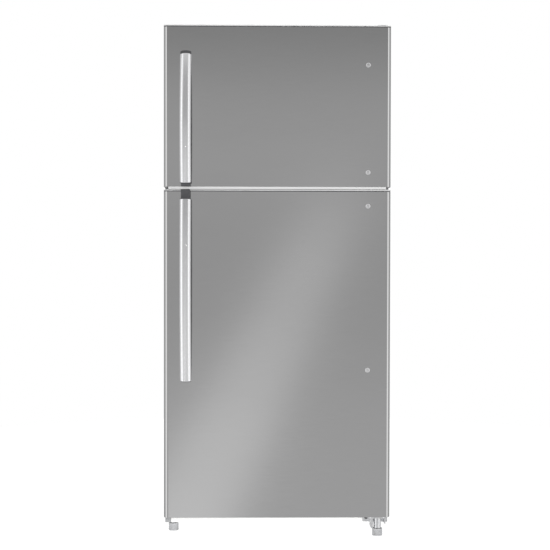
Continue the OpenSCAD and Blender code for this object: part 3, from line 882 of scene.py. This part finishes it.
class FRIDGE_OT_door_panels(Piece):
    """Steel door wraps, end caps and moulded inner panels"""

    bl_idname = "fridge.door_panels"
    bl_label = "Door panels"

    def make(self):
        for door in DOORS:
            softened(f"{door}_skin", f"{door}_door_steel", 0.35, "brushed_steel", 2)
            softened(f"{door}_caps", f"{door}_door_end_caps", 0.5, "cap_plastic", 2)
            # The dark top seal strip is painted shade in the groove under the top cap
            self.seal(door)
            self.inner_panel(door)
        # The strip over the gap between the doors is painted light
        self.lip()

    def lip(self):
        """Light grey strip along the freezer door's lower edge, over the gap between the doors: painted light standing
        in for the lit rail seen through the gap.
        """
        low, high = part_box("freezer_skin")
        obj = block("freezer_gap_painted_light", (low.x + 16 * MM, low.y + 1.5 * MM, low.z - 8 * MM),
                    (high.x - 16 * MM, low.y + 7 * MM, low.z + 2 * MM))
        hand_over(soften(obj, 0.5 * MM, 2), "freezer_door", "cap_plastic")

    def seal(self, door):
        """Dark strip that fills the groove between the steel and the top cap: painted shade standing in for the
        groove's shadow line.
        """
        low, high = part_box(f"{door}_caps")
        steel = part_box(f"{door}_skin")
        inset = 0.4 * MM
        obj = block(
            f"{door}_door_top_groove_shade",
            (low.x + inset, steel[0].y + inset, steel[1].z - 0.2 * MM),
            (high.x - inset, steel[1].y - inset, high.z - 2.8 * MM),
        )
        edit(obj)
        for side in (-1, 1):
            pick(obj, lambda middle, along: along.z ** 2 > 0.9 and middle.y < steel[0].y + MM
                 and middle.x * side > high.x - MM, "EDGE")
            bpy.ops.mesh.bevel(offset=sizes().door_bend - inset, segments=8, affect="EDGES")
        done()
        hand_over(smooth(obj), f"{door}_door", "dark_plastic")

    def inner_panel(self, door):
        """Flat sheet with a raised, rounded border round its middle."""
        low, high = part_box(f"{door}_door_liner")
        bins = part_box(f"{door}_upper_bin" if door == "freezer" else "middle_bin")
        liner_low, liner_high = (1.191, 1.6445) if door == "freezer" else (0.106, 1.121)
        outer = (Vector((bins[0].x - 29.5 * MM, 0, liner_low + 14 * MM)),
                 Vector((bins[1].x + 29.5 * MM, 0, liner_high - 14 * MM)))
        width = mm(28, 0, 28)
        inner = (outer[0] + width, outer[1] - width)
        sheet_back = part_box(f"{door}_gasket")[0].y
        obj = block(f"{door}_door_inner_panel", low, (high.x, sheet_back, high.z))
        edit(obj)
        cut(obj, x=(outer[0].x, inner[0].x, inner[1].x, outer[1].x),
            z=(outer[0].z, inner[0].z, inner[1].z, outer[1].z))
        test = ring_of(outer[0], outer[1], inner[0], inner[1])
        pick(obj, lambda middle, normal: test(middle, normal) and normal.y > 0)
        push((0, high.y - sheet_back, 0))
        done()
        edge = sheet_back + 0.5 * MM
        rounding = sizes().border_round
        edit(obj)
        pick(obj, lambda middle, along: middle.y > edge and (
            abs(along.y) > 0.9 or (middle.y > high.y - MM and self.on_rim(middle, outer, inner))
        ), "EDGE")
        bpy.ops.mesh.bevel(offset=rounding, segments=4, affect="EDGES")
        done()
        smooth(obj)
        modify(obj, "WEIGHTED_NORMAL", weight=100, keep_sharp=True)
        hand_over(obj, f"{door}_door", "liner_gloss", f"{door}_door_liner")

    def on_rim(self, middle, outer, inner):
        """Whether an edge of the border's top lies on one of the rectangles, not across the border."""
        near = 0.5 * MM
        for low, high in (outer, inner):
            beside = min(abs(middle.x - low.x), abs(middle.x - high.x)) < near
            beyond = min(abs(middle.z - low.z), abs(middle.z - high.z)) < near
            on_side = beside and low.z < middle.z < high.z
            on_end = beyond and low.x < middle.x < high.x
            if on_side or on_end:
                return True
        return False


class FRIDGE_OT_gaskets(Piece):
    """Magnetic door gaskets: a base strip, a fold and the bead that seals"""

    bl_idname = "fridge.gaskets"
    bl_label = "Door gaskets"

    base = 3 * MM
    width = 20 * MM
    # Each step goes in from both borders and up
    steps = ((2 * MM, 1.2 * MM), (3 * MM, 2.6 * MM), (2 * MM, 1.8 * MM))

    def make(self):
        for door in DOORS:
            low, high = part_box(f"{door}_gasket")
            obj = block(f"{door}_door_seal", low, (high.x, low.y + self.base, high.z))
            self.open_middle(obj, low, high)
            edit(obj)
            top = low.y + self.base
            for inset, rise in self.steps:
                pick(obj, lambda middle, normal: normal.y > 0.9 and middle.y > top - 0.1 * MM)
                bpy.ops.mesh.inset(thickness=inset, use_even_offset=True)
                push((0, rise, 0))
                top += rise
            face_out()
            done()
            soften(obj, 0.6 * MM, 2)
            self.hand(obj, door)

    def open_middle(self, obj, low, high):
        """Leaves a frame of the slab."""
        edit(obj)
        # One side at a time, since picking both would also pick the edges' faces
        for side in (-1, 1):
            pick(obj, lambda middle, normal: normal.y * side > 0.9)
            bpy.ops.mesh.inset(thickness=self.width, use_even_offset=True)
        x, z = (low.x + high.x) / 2, (low.z + high.z) / 2
        pick(obj, lambda middle, normal: abs(middle.x - x) < MM and abs(middle.z - z) < MM)
        bpy.ops.mesh.delete(type="FACE")
        bpy.ops.mesh.select_mode(type="EDGE")
        bpy.ops.mesh.select_all(action="DESELECT")
        bpy.ops.mesh.select_non_manifold(extend=False)
        bpy.ops.mesh.bridge_edge_loops()
        done()

    def hand(self, obj, door):
        hand_over(obj, f"{door}_door", "gasket_vinyl", f"{door}_gasket")


class FRIDGE_OT_handles(Piece):
    """Bowed bar handles with a crowned face, dark end caps and brackets"""

    bl_idname = "fridge.handles"
    bl_label = "Handles"

    def make(self):
        bows = {"freezer": sizes().freezer_bow, "fresh": sizes().fresh_bow}
        middles = {"freezer": 1.343, "fresh": 0.89}
        for door in DOORS:
            low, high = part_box(f"{door}_handle")
            self.low, self.high, self.bow = low, high, bows[door]
            self.middle = middles[door]
            end = high.z - (5 if door == "freezer" else 1) * MM
            bar = self.sweep(f"{door}_bar_handle", low.z + 1 * MM, end, 0, 72)
            soften(bar, 0.8 * MM, 2)
            hand_over(bar, f"{door}_door", "satin_silver", f"{door}_handle")
            ends = [
                self.sweep("end", end - 2 * MM, high.z + (5 if door == "freezer" else 1) * MM, 0.5 * MM, 4),
                self.sweep("end", low.z - 1 * MM, low.z + 3 * MM, 1.0 * MM, 4),
            ]
            caps = soften(joined(f"{door}_handle_end_caps", ends), 0.6 * MM, 2)
            hand_over(caps, f"{door}_door", "dark_plastic")
            softened(f"{door}_handle_mounts", f"{door}_handle_brackets", 1.2, "dark_plastic", 3)

    def sweep(self, name, z_low, z_high, margin, steps):
        """Half an ellipse swept along the bow between two heights, smaller by the margin."""
        depth = sizes().bar_depth - margin
        half_width = (self.high.x - self.low.x) / 2 - margin
        start = math.asin((z_low - self.middle) / self.bow)
        end = math.asin((z_high - self.middle) / self.bow)
        clear_selection()
        bpy.ops.mesh.primitive_circle_add(vertices=40, radius=1, fill_type="NGON")
        obj = added(name)
        obj.scale = (half_width, depth, 1)
        settle(obj)
        edit(obj)
        bpy.ops.mesh.bisect(plane_co=(0, 0, 0), plane_no=(0, 1, 0), clear_outer=True)
        done()
        axis = self.low.y + self.bow
        reach = self.bow - sizes().bar_depth - 0.05 * MM
        obj.rotation_euler.x = -start
        obj.location = (
            (self.low.x + self.high.x) / 2,
            axis - reach * math.cos(start),
            self.middle + reach * math.sin(start),
        )
        settle(obj)
        edit(obj)
        bpy.ops.mesh.spin(steps=steps, angle=end - start, center=(0, axis, self.middle), axis=(1, 0, 0))
        face_out()
        done()
        return obj


class FRIDGE_OT_plugs(Piece):
    """Bright plugs in the spare handle holes, each with a raised rim and a shallow dish"""

    bl_idname = "fridge.plugs"
    bl_label = "Hole plugs"

    def make(self):
        radius = sizes().plug_radius
        for door in DOORS:
            low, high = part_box(f"{door}_plugs")
            x = (low.x + high.x) / 2
            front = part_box(f"{door}_skin")[0].y
            model = rod("plug", (x, front + 0.2 * MM, 0), (x, front - 2.2 * MM, 0), radius, 40)
            edit(model)
            pick(model, lambda middle, normal: normal.y < -0.9)
            bpy.ops.mesh.inset(thickness=1.6 * MM)
            bpy.ops.mesh.inset(thickness=0.9 * MM)
            bpy.ops.transform.translate(value=(0, 0.9 * MM, 0))
            bpy.ops.mesh.inset(thickness=2.5 * MM)
            bpy.ops.transform.translate(value=(0, -0.35 * MM, 0))
            done()
            soften(model, 0.45 * MM, 3, 25)
            obj = copies(f"{door}_hole_plugs", model, [(0, 0, low.z + radius), (0, 0, high.z - radius)])
            hand_over(obj, f"{door}_door", "plug_metal", f"{door}_plugs")


class FRIDGE_OT_hinges(Piece):
    """Hinge plates, their cover, bolts and washers"""

    bl_idname = "fridge.hinges"
    bl_label = "Hinges"

    def make(self):
        softened("top_hinge", "top_hinge_plate", 0.5, "zinc")
        softened("top_hinge_cover", "hinge_cover", 1.6, "dark_plastic", 3)
        softened("middle_hinge", "middle_hinge_arm", 0.6, "zinc")
        softened("bottom_hinge", "bottom_hinge_bracket", 0.6, "zinc")
        softened("hinge_bolts", "hinge_screws", 0.35, "black_zinc")
        low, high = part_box("middle_hinge")
        pin = Vector((0.35, -0.305, 0))
        washers = []
        for z in (low.z + 19.9 * MM, high.z - 22.4 * MM):
            washer = rod("washer", pin + Vector((0, 0, z)), pin + Vector((0, 0, z + 1.6 * MM)), 9 * MM, 40)
            edit(washer)
            pick(washer, lambda middle, normal: abs(normal.z) > 0.9)
            bpy.ops.mesh.inset(thickness=3.6 * MM)
            done()
            washers.append(soften(washer, 0.3 * MM, 2))
        hand_over(joined("hinge_washers", washers), "cabinet", "white_plastic")
        # Dark sheet under the screws of the middle hinge: painted shade on the rail beside the hinge
        middle = (low.z + high.z) / 2
        plate = low.x + 1 * MM
        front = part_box("base_rail")[0].y - 3.6 * MM
        half_height, width, depth = 6.5 * MM, 45 * MM, 0.9 * MM
        shade_sheet = block("hinge_painted_shade", (plate, front, middle - half_height),
                     (plate + width, front + depth, middle + half_height))
        hand_over(soften(shade_sheet, 0.3 * MM, 2), "cabinet", "cover_board")


class FRIDGE_OT_feet(Piece):
    """Ribbed levelling feet on threaded stems, and the rear rollers"""

    bl_idname = "fridge.feet"
    bl_label = "Feet and rollers"

    pad = 25 * MM

    def make(self):
        for side in ("left", "right"):
            self.foot(side)
            self.roller(side)

    def foot(self, side):
        low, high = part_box(f"{side}_foot")
        x, y = (low.x + high.x) / 2, (low.y + high.y) / 2
        radius = (high.x - low.x) / 2
        sides = 64
        pad = rod("pad", (x, y, 0), (x, y, self.pad), radius, sides)
        edit(pad)
        cut(pad, z=(3.5 * MM, self.pad - 3.5 * MM))

        def rib(middle, normal):
            turn = math.atan2(middle.y - y, middle.x - x) / math.tau * sides
            upright = abs(normal.z) < 0.1 and 3.5 * MM < middle.z < self.pad - 3.5 * MM
            return upright and int(turn + sides) % 2 == 0

        def rim(middle, along):
            return abs(along.z) < 0.1 and min(abs(middle.z), abs(middle.z - self.pad)) < 0.1 * MM

        pick(pad, rib)
        bpy.ops.mesh.inset(thickness=0.15 * MM, depth=-1.1 * MM, use_individual=True)
        pick(pad, rim, "EDGE")
        bpy.ops.mesh.bevel(offset=1.6 * MM, segments=3, affect="EDGES")
        pick(pad, lambda middle, normal: normal.z > 0.9 and middle.z > self.pad - MM)
        bpy.ops.mesh.inset(thickness=4.5 * MM)
        bpy.ops.transform.translate(value=(0, 0, -1.2 * MM))
        done()
        smooth(pad, 35)
        stem = rod("stem", (x, y, self.pad - 3 * MM), (x, y, high.z), 3.2 * MM, 20)
        thread = rod("thread", (x, y, 0), (x, y, 1.25 * MM), 3.2 * MM, 20)
        edit(thread)
        cut(thread, z=(0.62 * MM,))
        pick(thread, lambda middle, along: abs(along.z) < 0.1 and abs(middle.z - 0.62 * MM) < 0.05 * MM, "EDGE")
        bpy.ops.transform.resize(value=(1.25, 1.25, 1), center_override=(x, y, 0.62 * MM))
        done()
        turns = int((high.z - self.pad) / (1.25 * MM)) - 1
        thread.location.z = self.pad - 0.5 * MM
        settle(thread)
        modify(thread, "ARRAY", count=turns, use_relative_offset=False, use_constant_offset=True,
               constant_offset_displace=(0, 0, 1.25 * MM))
        obj = joined(f"{side}_levelling_foot", [stem, thread, pad])
        smooth(obj, 35)
        hand_over(obj, f"{side}_foot", "foot_plastic", f"{side}_foot")

    def roller(self, side):
        low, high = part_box(f"{side}_roller")
        middle_y, middle_z = (low.y + high.y) / 2, (low.z + high.z) / 2
        radius = (high.z - low.z) / 2
        wheel = rod("wheel", (low.x, middle_y, middle_z), (high.x, middle_y, middle_z), radius, 64)
        edit(wheel)
        for end in (-1, 1):
            pick(wheel, lambda middle, normal: normal.x * end > 0.9)
            bpy.ops.mesh.inset(thickness=4.5 * MM)
            bpy.ops.mesh.inset(thickness=0.8 * MM)
            bpy.ops.transform.translate(value=(-end * 3 * MM, 0, 0))
            bpy.ops.mesh.inset(thickness=5.5 * MM)
            bpy.ops.mesh.inset(thickness=0.6 * MM)
            bpy.ops.transform.translate(value=(end * 2.5 * MM, 0, 0))
        done()
        soften(wheel, 0.9 * MM, 3)
        wheel.name = wheel.data.name = f"{side}_roller_wheel"
        hand_over(wheel, f"{side}_roller", "dark_plastic", f"{side}_roller")


class FRIDGE_OT_screws(Piece):
    """Pan-head screws with a cross recess, on the rear covers and the base rail"""

    bl_idname = "fridge.screws"
    bl_label = "Screws"

    def make(self):
        panel, cover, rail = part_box("rear_panel"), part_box("machine_cover"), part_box("base_rail")
        inset = 8 * MM
        heights = (0.356, 0.636, 0.916, 1.196, 1.476, 1.676)
        rear = [(side * (panel[1].x - inset), z) for side in (-1, 1) for z in heights]
        rear += [(x, panel[1].z - inset) for x in (-0.2, 0.0, 0.2)]
        self.group("rear_sheet_screws", rear, panel[1].y - 15 * MM, 1)
        board = [(side * (cover[1].x - 14 * MM), z) for side in (-1, 1) for z in (0.054, 0.166, 0.274)]
        board += [(x, 0.278) for x in (-0.2, 0.0, 0.2)]
        self.group("back_board_screws", board, cover[1].y, 1)
        self.group("base_rail_screws", [(x, 0.072) for x in (-0.33, -0.1, 0.1)], rail[0].y, -1)

    def group(self, name, places, y, side):
        obj = copies(name, self.screw(side), [(x, y, z) for x, z in places])
        hand_over(obj, "cabinet", "zinc")

    def screw(self, side):
        """A screw at the origin whose head looks along Y, forwards or backwards."""
        head = rod("head", (0, 0, 0), (0, side * 2.4 * MM, 0), 4.6 * MM, 28)
        edit(head)
        pick(head, lambda middle, normal: normal.y * side > 0.9)
        bpy.ops.mesh.inset(thickness=1.2 * MM)
        bpy.ops.transform.translate(value=(0, side * 0.5 * MM, 0))
        done()
        soften(head, 0.5 * MM, 3)
        for turn in (0, 1):
            wide, thin = 2.6 * MM, 0.55 * MM
            reach = Vector((wide, 2 * MM, thin) if turn else (thin, 2 * MM, wide))
            centre = Vector((0, side * 3.6 * MM, 0))
            cutter = block("cutter", centre - reach, centre + reach)
            modify(head, "BOOLEAN", operation="DIFFERENCE", object=cutter, solver="EXACT")
            bpy.data.objects.remove(cutter)
        return smooth(head)


class FRIDGE_OT_back_details(Piece):
    """Foam filler plugs on the rear sheet and louvre lips"""

    bl_idname = "fridge.back_details"
    bl_label = "Back details"

    def make(self):
        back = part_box("base_pan")[1].y
        plug = rod("filler", (0, back, 0), (0, back + 2.2 * MM, 0), 16 * MM, 40)
        edit(plug)
        pick(plug, lambda middle, normal: normal.y > 0.9)
        bpy.ops.mesh.inset(thickness=3 * MM)
        bpy.ops.transform.translate(value=(0, -1 * MM, 0))
        done()
        soften(plug, 0.6 * MM, 3)
        places = [(x, MM, z) for x in (-0.28, 0.28) for z in (0.766, 1.316)]
        hand_over(copies("foam_filler_plugs", plug, places), "cabinet", "white_plastic")
        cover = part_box("machine_cover")
        lip = block("lip", (-0.107, 0, -0.0012), (0.107, 0.0042, 0))
        edit(lip)
        pick(lip, lambda middle, normal: normal.y > 0.9)
        bpy.ops.transform.translate(value=(0, 0, -0.0045))
        done()
        soften(lip, 0.35 * MM, 2)
        places = [(x, cover[1].y - 0.6 * MM, 0.0932 + row * 0.017) for x in (-0.175, 0.175) for row in range(10)]
        hand_over(copies("louvre_lips", lip, places), "cabinet", "cover_board")


class FRIDGE_OT_machine(Piece):
    """Compressor, its mounts, drain pan and copper pipes behind the rear cover"""

    bl_idname = "fridge.machine"
    bl_label = "Machine compartment"

    def make(self):
        softened("compressor", "compressor_can", 1.0, "black_enamel", 3)
        softened("compressor_mounts", "compressor_grommets", 0.8, "black_rubber", 2)
        softened("drain_pan", "melt_water_pan", 0.6, "white_plastic", 2)
        x, y, top = 0.19, 0.344, 0.248
        suction = [(x, y, top - 0.012), (x, y, 0.264), (x, y - 0.03, 0.266), (0.08, 0.3, 0.266), (0.05, 0.24, 0.266),
                   (0.05, 0.19, 0.266)]
        discharge = [(0.105, 0.25, 0.186), (0.09, 0.24, 0.191), (0.07, 0.225, 0.206), (0.05, 0.225, 0.216)]
        pitch = 0.022
        for row in range(6):
            z = 0.226 - row * pitch
            ends = (0.05, -0.33) if row % 2 == 0 else (-0.33, 0.05)
            discharge += [(ends[0], 0.225, z), (ends[1], 0.225, z)]
        discharge += [(-0.345, 0.26, 0.116), (-0.345, 0.3, 0.126)]
        pipes = [tube("suction", suction, 4 * MM), tube("discharge", discharge, 2.6 * MM)]
        hand_over(joined("refrigerant_pipes", pipes), "cabinet", "copper")


class FRIDGE_OT_inside(Piece):
    """Shelves, covers, duct, control housing and their knobs"""

    bl_idname = "fridge.inside"
    bl_label = "Inside fittings"

    def make(self):
        softened("evaporator_cover", "freezer_back_cover", 1.0, "liner_gloss")
        softened("air_duct", "air_duct_cover", 2.5, "white_plastic", 3)
        softened("control_housing", "control_box", 3.0, "white_plastic", 3)
        softened("lamp_lens", "lamp_diffuser", 1.2, "clear_styrene", 3)
        softened("shelf_frames", "shelf_rims", 1.4, "white_plastic", 3)
        softened("shelf_glass", "shelf_panes", 0.6, "shelf_glass", 2)
        softened("crisper_cover", "drawer_cover", 1.4, "white_plastic", 3)
        softened("freezer_shelf", "wire_shelf", 0, "coated_wire")
        softened("fan_blade", "fan_rotor", 0.3, "dark_plastic")
        softened("temperature_knob", "control_knob", 1.0, "white_plastic", 3)
        softened("freezer_knob", "freezer_control_knob", 1.0, "white_plastic", 3)
        softened("door_switch", "lamp_switch", 1.0, "white_plastic", 3)
        self.dial("fresh_dial_marks", "temperature_knob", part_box("control_housing")[0].y + 78 * MM)
        self.dial("freezer_dial_marks", "freezer_knob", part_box("evaporator_cover")[0].y + 6 * MM)

    def dial(self, name, knob, y):
        """Raised marks round a knob, longer towards one end of its range."""
        low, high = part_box(knob)
        x, z = (low.x + high.x) / 2, (low.z + high.z) / 2
        radius = (high.x - low.x) / 2 + 1.8 * MM
        marks = []
        count = 9
        for step in range(count):
            turn = math.radians(135 - 270 * step / (count - 1))
            length = (1.2 + 0.22 * step) * MM
            mark = block("mark", (-0.5 * MM, y - 0.5 * MM, radius), (0.5 * MM, y + 0.4 * MM, radius + length))
            soften(mark, 0.2 * MM, 2)
            mark.rotation_euler.y = turn
            mark.location = (x, 0, z)
            marks.append(settle(mark))
        hand_over(joined(name, marks), "cabinet", "dark_plastic")


class FRIDGE_OT_bins(Piece):
    """Clear drawers, door bins and the dairy cover"""

    bl_idname = "fridge.bins"
    bl_label = "Drawers and bins"

    def make(self):
        for side in ("left", "right"):
            softened(f"{side}_crisper", f"{side}_drawer", 1.1, "clear_styrene", 3)
        for node in ("freezer_upper_bin", "freezer_lower_bin", "middle_bin", "lower_bin"):
            softened(node, node.replace("_bin", "_door_shelf"), 1.0, "clear_styrene", 3)
        softened("dairy_bin", "dairy_tray", 0.8, "clear_styrene", 2)
        softened("dairy_flap", "dairy_cover", 0.6, "clear_styrene", 2)


class FRIDGE_OT_hidden(Piece):
    """Finishes of the nodes that stay as they are"""

    bl_idname = "fridge.hidden"
    bl_label = "Foam, evaporator and fan motor"

    kept = {
        "cabinet_foam": "foam",
        "freezer_door_foam": "foam",
        "fresh_door_foam": "foam",
        "evaporator": "bare_aluminium",
        "fan_motor": "dark_plastic",
    }

    def make(self):
        for node, name in self.kept.items():
            obj = NODES[node]
            material = FINISHES[name]()
            if not obj.material_slots:
                obj.data.materials.append(material)
            for slot in obj.material_slots:
                slot.material = material


class FRIDGE_OT_studio(Piece):
    """Pale floor, soft light all round and the camera"""

    bl_idname = "fridge.studio"
    bl_label = "Studio"

    # Brightness of the room in front of the doors, against height over distance
    room_stops = (
        (0.0, 0.58), (0.27, 0.565), (0.34, 0.565), (0.38, 0.53), (0.42, 0.485), (0.46, 0.47), (0.53, 0.475),
        (0.562, 0.535), (0.6, 0.518), (0.63, 0.497), (0.648, 0.45), (0.668, 0.37), (0.69, 0.3), (0.8, 0.34),
        (1.0, 0.34),
    )

    def make(self):
        scene = bpy.context.scene
        scene.view_settings.view_transform = "Standard"
        self.floor()
        self.world(scene)
        studio = scene.fridge_studio
        clear_selection()
        clear_selection()
        bpy.ops.object.light_add(type="AREA", location=(0.1, -5.4, 1.25), rotation=(math.radians(90), 0, 0))
        lamp = added("front_lamp")
        lamp.data.shape = "DISK"
        lamp.data.size = 0.9
        lamp.data.energy = studio.front_light
        lamp.visible_glossy = False
        bpy.ops.object.camera_add(
            location=(-0.078, -4.37, 0.956), rotation=[math.radians(turn) for turn in (88.8, -0.098, -1.0)]
        )
        camera = added("camera")
        camera.data.lens = studio.lens
        camera.data.sensor_width = 36.0
        camera.data.shift_y = 0.0005
        scene.camera = camera

    def floor(self):
        clear_selection()
        bpy.ops.mesh.primitive_circle_add(vertices=96, radius=2.6, fill_type="NGON", location=(0, 0, -0.4 * MM))
        floor = settle(added("floor"))
        graph = Graph(bpy.data.materials.new("pale_floor"))
        cloud = graph.grain(1.5)
        matt = graph.add(
            "ShaderNodeBsdfDiffuse", None, {"Color": graph.between(cloud, (0.9, 0.9, 0.9), (0.93, 0.93, 0.93))}, "BSDF"
        )
        glow = graph.add("ShaderNodeEmission", None, {"Color": (1, 1, 1, 1), "Strength": 1.15}, "Emission")
        graph.add_output(graph.add("ShaderNodeMixShader", None, {0: 0.92, 1: matt, 2: glow}, "Shader"))
        floor.data.materials.append(graph.owner)
        floor.visible_glossy = False

    def world(self, scene):
        scene.world = bpy.data.worlds.new("studio")
        graph = Graph(scene.world)
        ray = graph.add("ShaderNodeTexCoord", output="Generated")
        x, y, z = (graph.add("ShaderNodeSeparateXYZ", None, {0: ray}, part) for part in "XYZ")
        ahead = (y * -1).over(0.05)
        across, up = x / ahead, z / ahead
        place = graph.add("ShaderNodeMapRange", None, {"Value": up, "From Min": -0.5, "From Max": 0.5})
        stops = [(at, (value, value, value)) for at, value in self.room_stops]
        front = graph.add("ShaderNodeValToRGB", {"stops": stops}, {"Fac": place})
        front = graph.add("ShaderNodeSeparateColor", None, {0: front})
        # A long soft lamp, leaning over, behind the camera
        lean = abs(across - (up * 0.48 + 0.0505))
        width = 0.027 - up * 0.07
        lamp = (lean / width).step(1.15, 0.8) * up.step(0.08, 0.0)
        room = front + lamp * (0.22 - up * 0.5)
        # Bright panels on both sides, with dimmer ground beyond them
        glossy = room + (1.25 - room) * abs(across).step(0.6, 1.1)
        glossy = glossy + (0.52 - glossy) * y.step(-0.38, -0.12)
        glossy = glossy + (0.72 - glossy) * abs(z).step(0.55, 0.8)
        path = {name: graph.add("ShaderNodeLightPath", output=f"Is {name} Ray") for name in ("Camera", "Glossy")}
        # Less falls on matt surfaces from the front, where the lamp is, than from the sides and the back
        matt = scene.fridge_studio.room * (0.15 + y.step(-0.5, 0.4) * 0.75)
        level = matt + (glossy - matt) * path["Glossy"]
        level = level + (1.0 - level) * path["Camera"]
        shade = graph.add("ShaderNodeBackground", None, {"Color": (1, 1, 1, 1), "Strength": level}, "Background")
        graph.add_output(shade, "ShaderNodeOutputWorld")


PIECES = (
    FRIDGE_OT_shell,
    FRIDGE_OT_liners,
    FRIDGE_OT_ledges,
    FRIDGE_OT_door_panels,
    FRIDGE_OT_gaskets,
    FRIDGE_OT_handles,
    FRIDGE_OT_plugs,
    FRIDGE_OT_hinges,
    FRIDGE_OT_feet,
    FRIDGE_OT_screws,
    FRIDGE_OT_back_details,
    FRIDGE_OT_machine,
    FRIDGE_OT_inside,
    FRIDGE_OT_bins,
    FRIDGE_OT_hidden,
    FRIDGE_OT_studio,
)


class FRIDGE_PT_panel(bpy.types.Panel):
    """Lists the pieces and their settings"""

    bl_idname = "FRIDGE_PT_panel"
    bl_label = "Refrigerator"
    bl_space_type = "VIEW_3D"
    bl_region_type = "UI"
    bl_category = "Refrigerator"

    def draw(self, context):
        for group in (context.scene.fridge_finishes, context.scene.fridge_sizes, context.scene.fridge_studio):
            for name in group.bl_rna.properties.keys():
                if name not in ("rna_type", "name"):
                    self.layout.prop(group, name)
        for piece in PIECES:
            self.layout.operator(piece.bl_idname)


GROUPS = {"fridge_finishes": FridgeFinishes, "fridge_sizes": FridgeSizes, "fridge_studio": FridgeStudio}


def register():
    for group in GROUPS.values():
        bpy.utils.register_class(group)
    for name, group in GROUPS.items():
        setattr(bpy.types.Scene, name, bpy.props.PointerProperty(type=group))
    for piece in PIECES:
        bpy.utils.register_class(piece)
    bpy.utils.register_class(FRIDGE_PT_panel)


def unregister():
    bpy.utils.unregister_class(FRIDGE_PT_panel)
    for piece in reversed(PIECES):
        bpy.utils.unregister_class(piece)
    for name, group in GROUPS.items():
        delattr(bpy.types.Scene, name)
        bpy.utils.unregister_class(group)


def main():
    register()
    for piece in PIECES:
        group, name = piece.bl_idname.split(".")
        getattr(getattr(bpy.ops, group), name)()


if __name__ == "__main__":
    main()
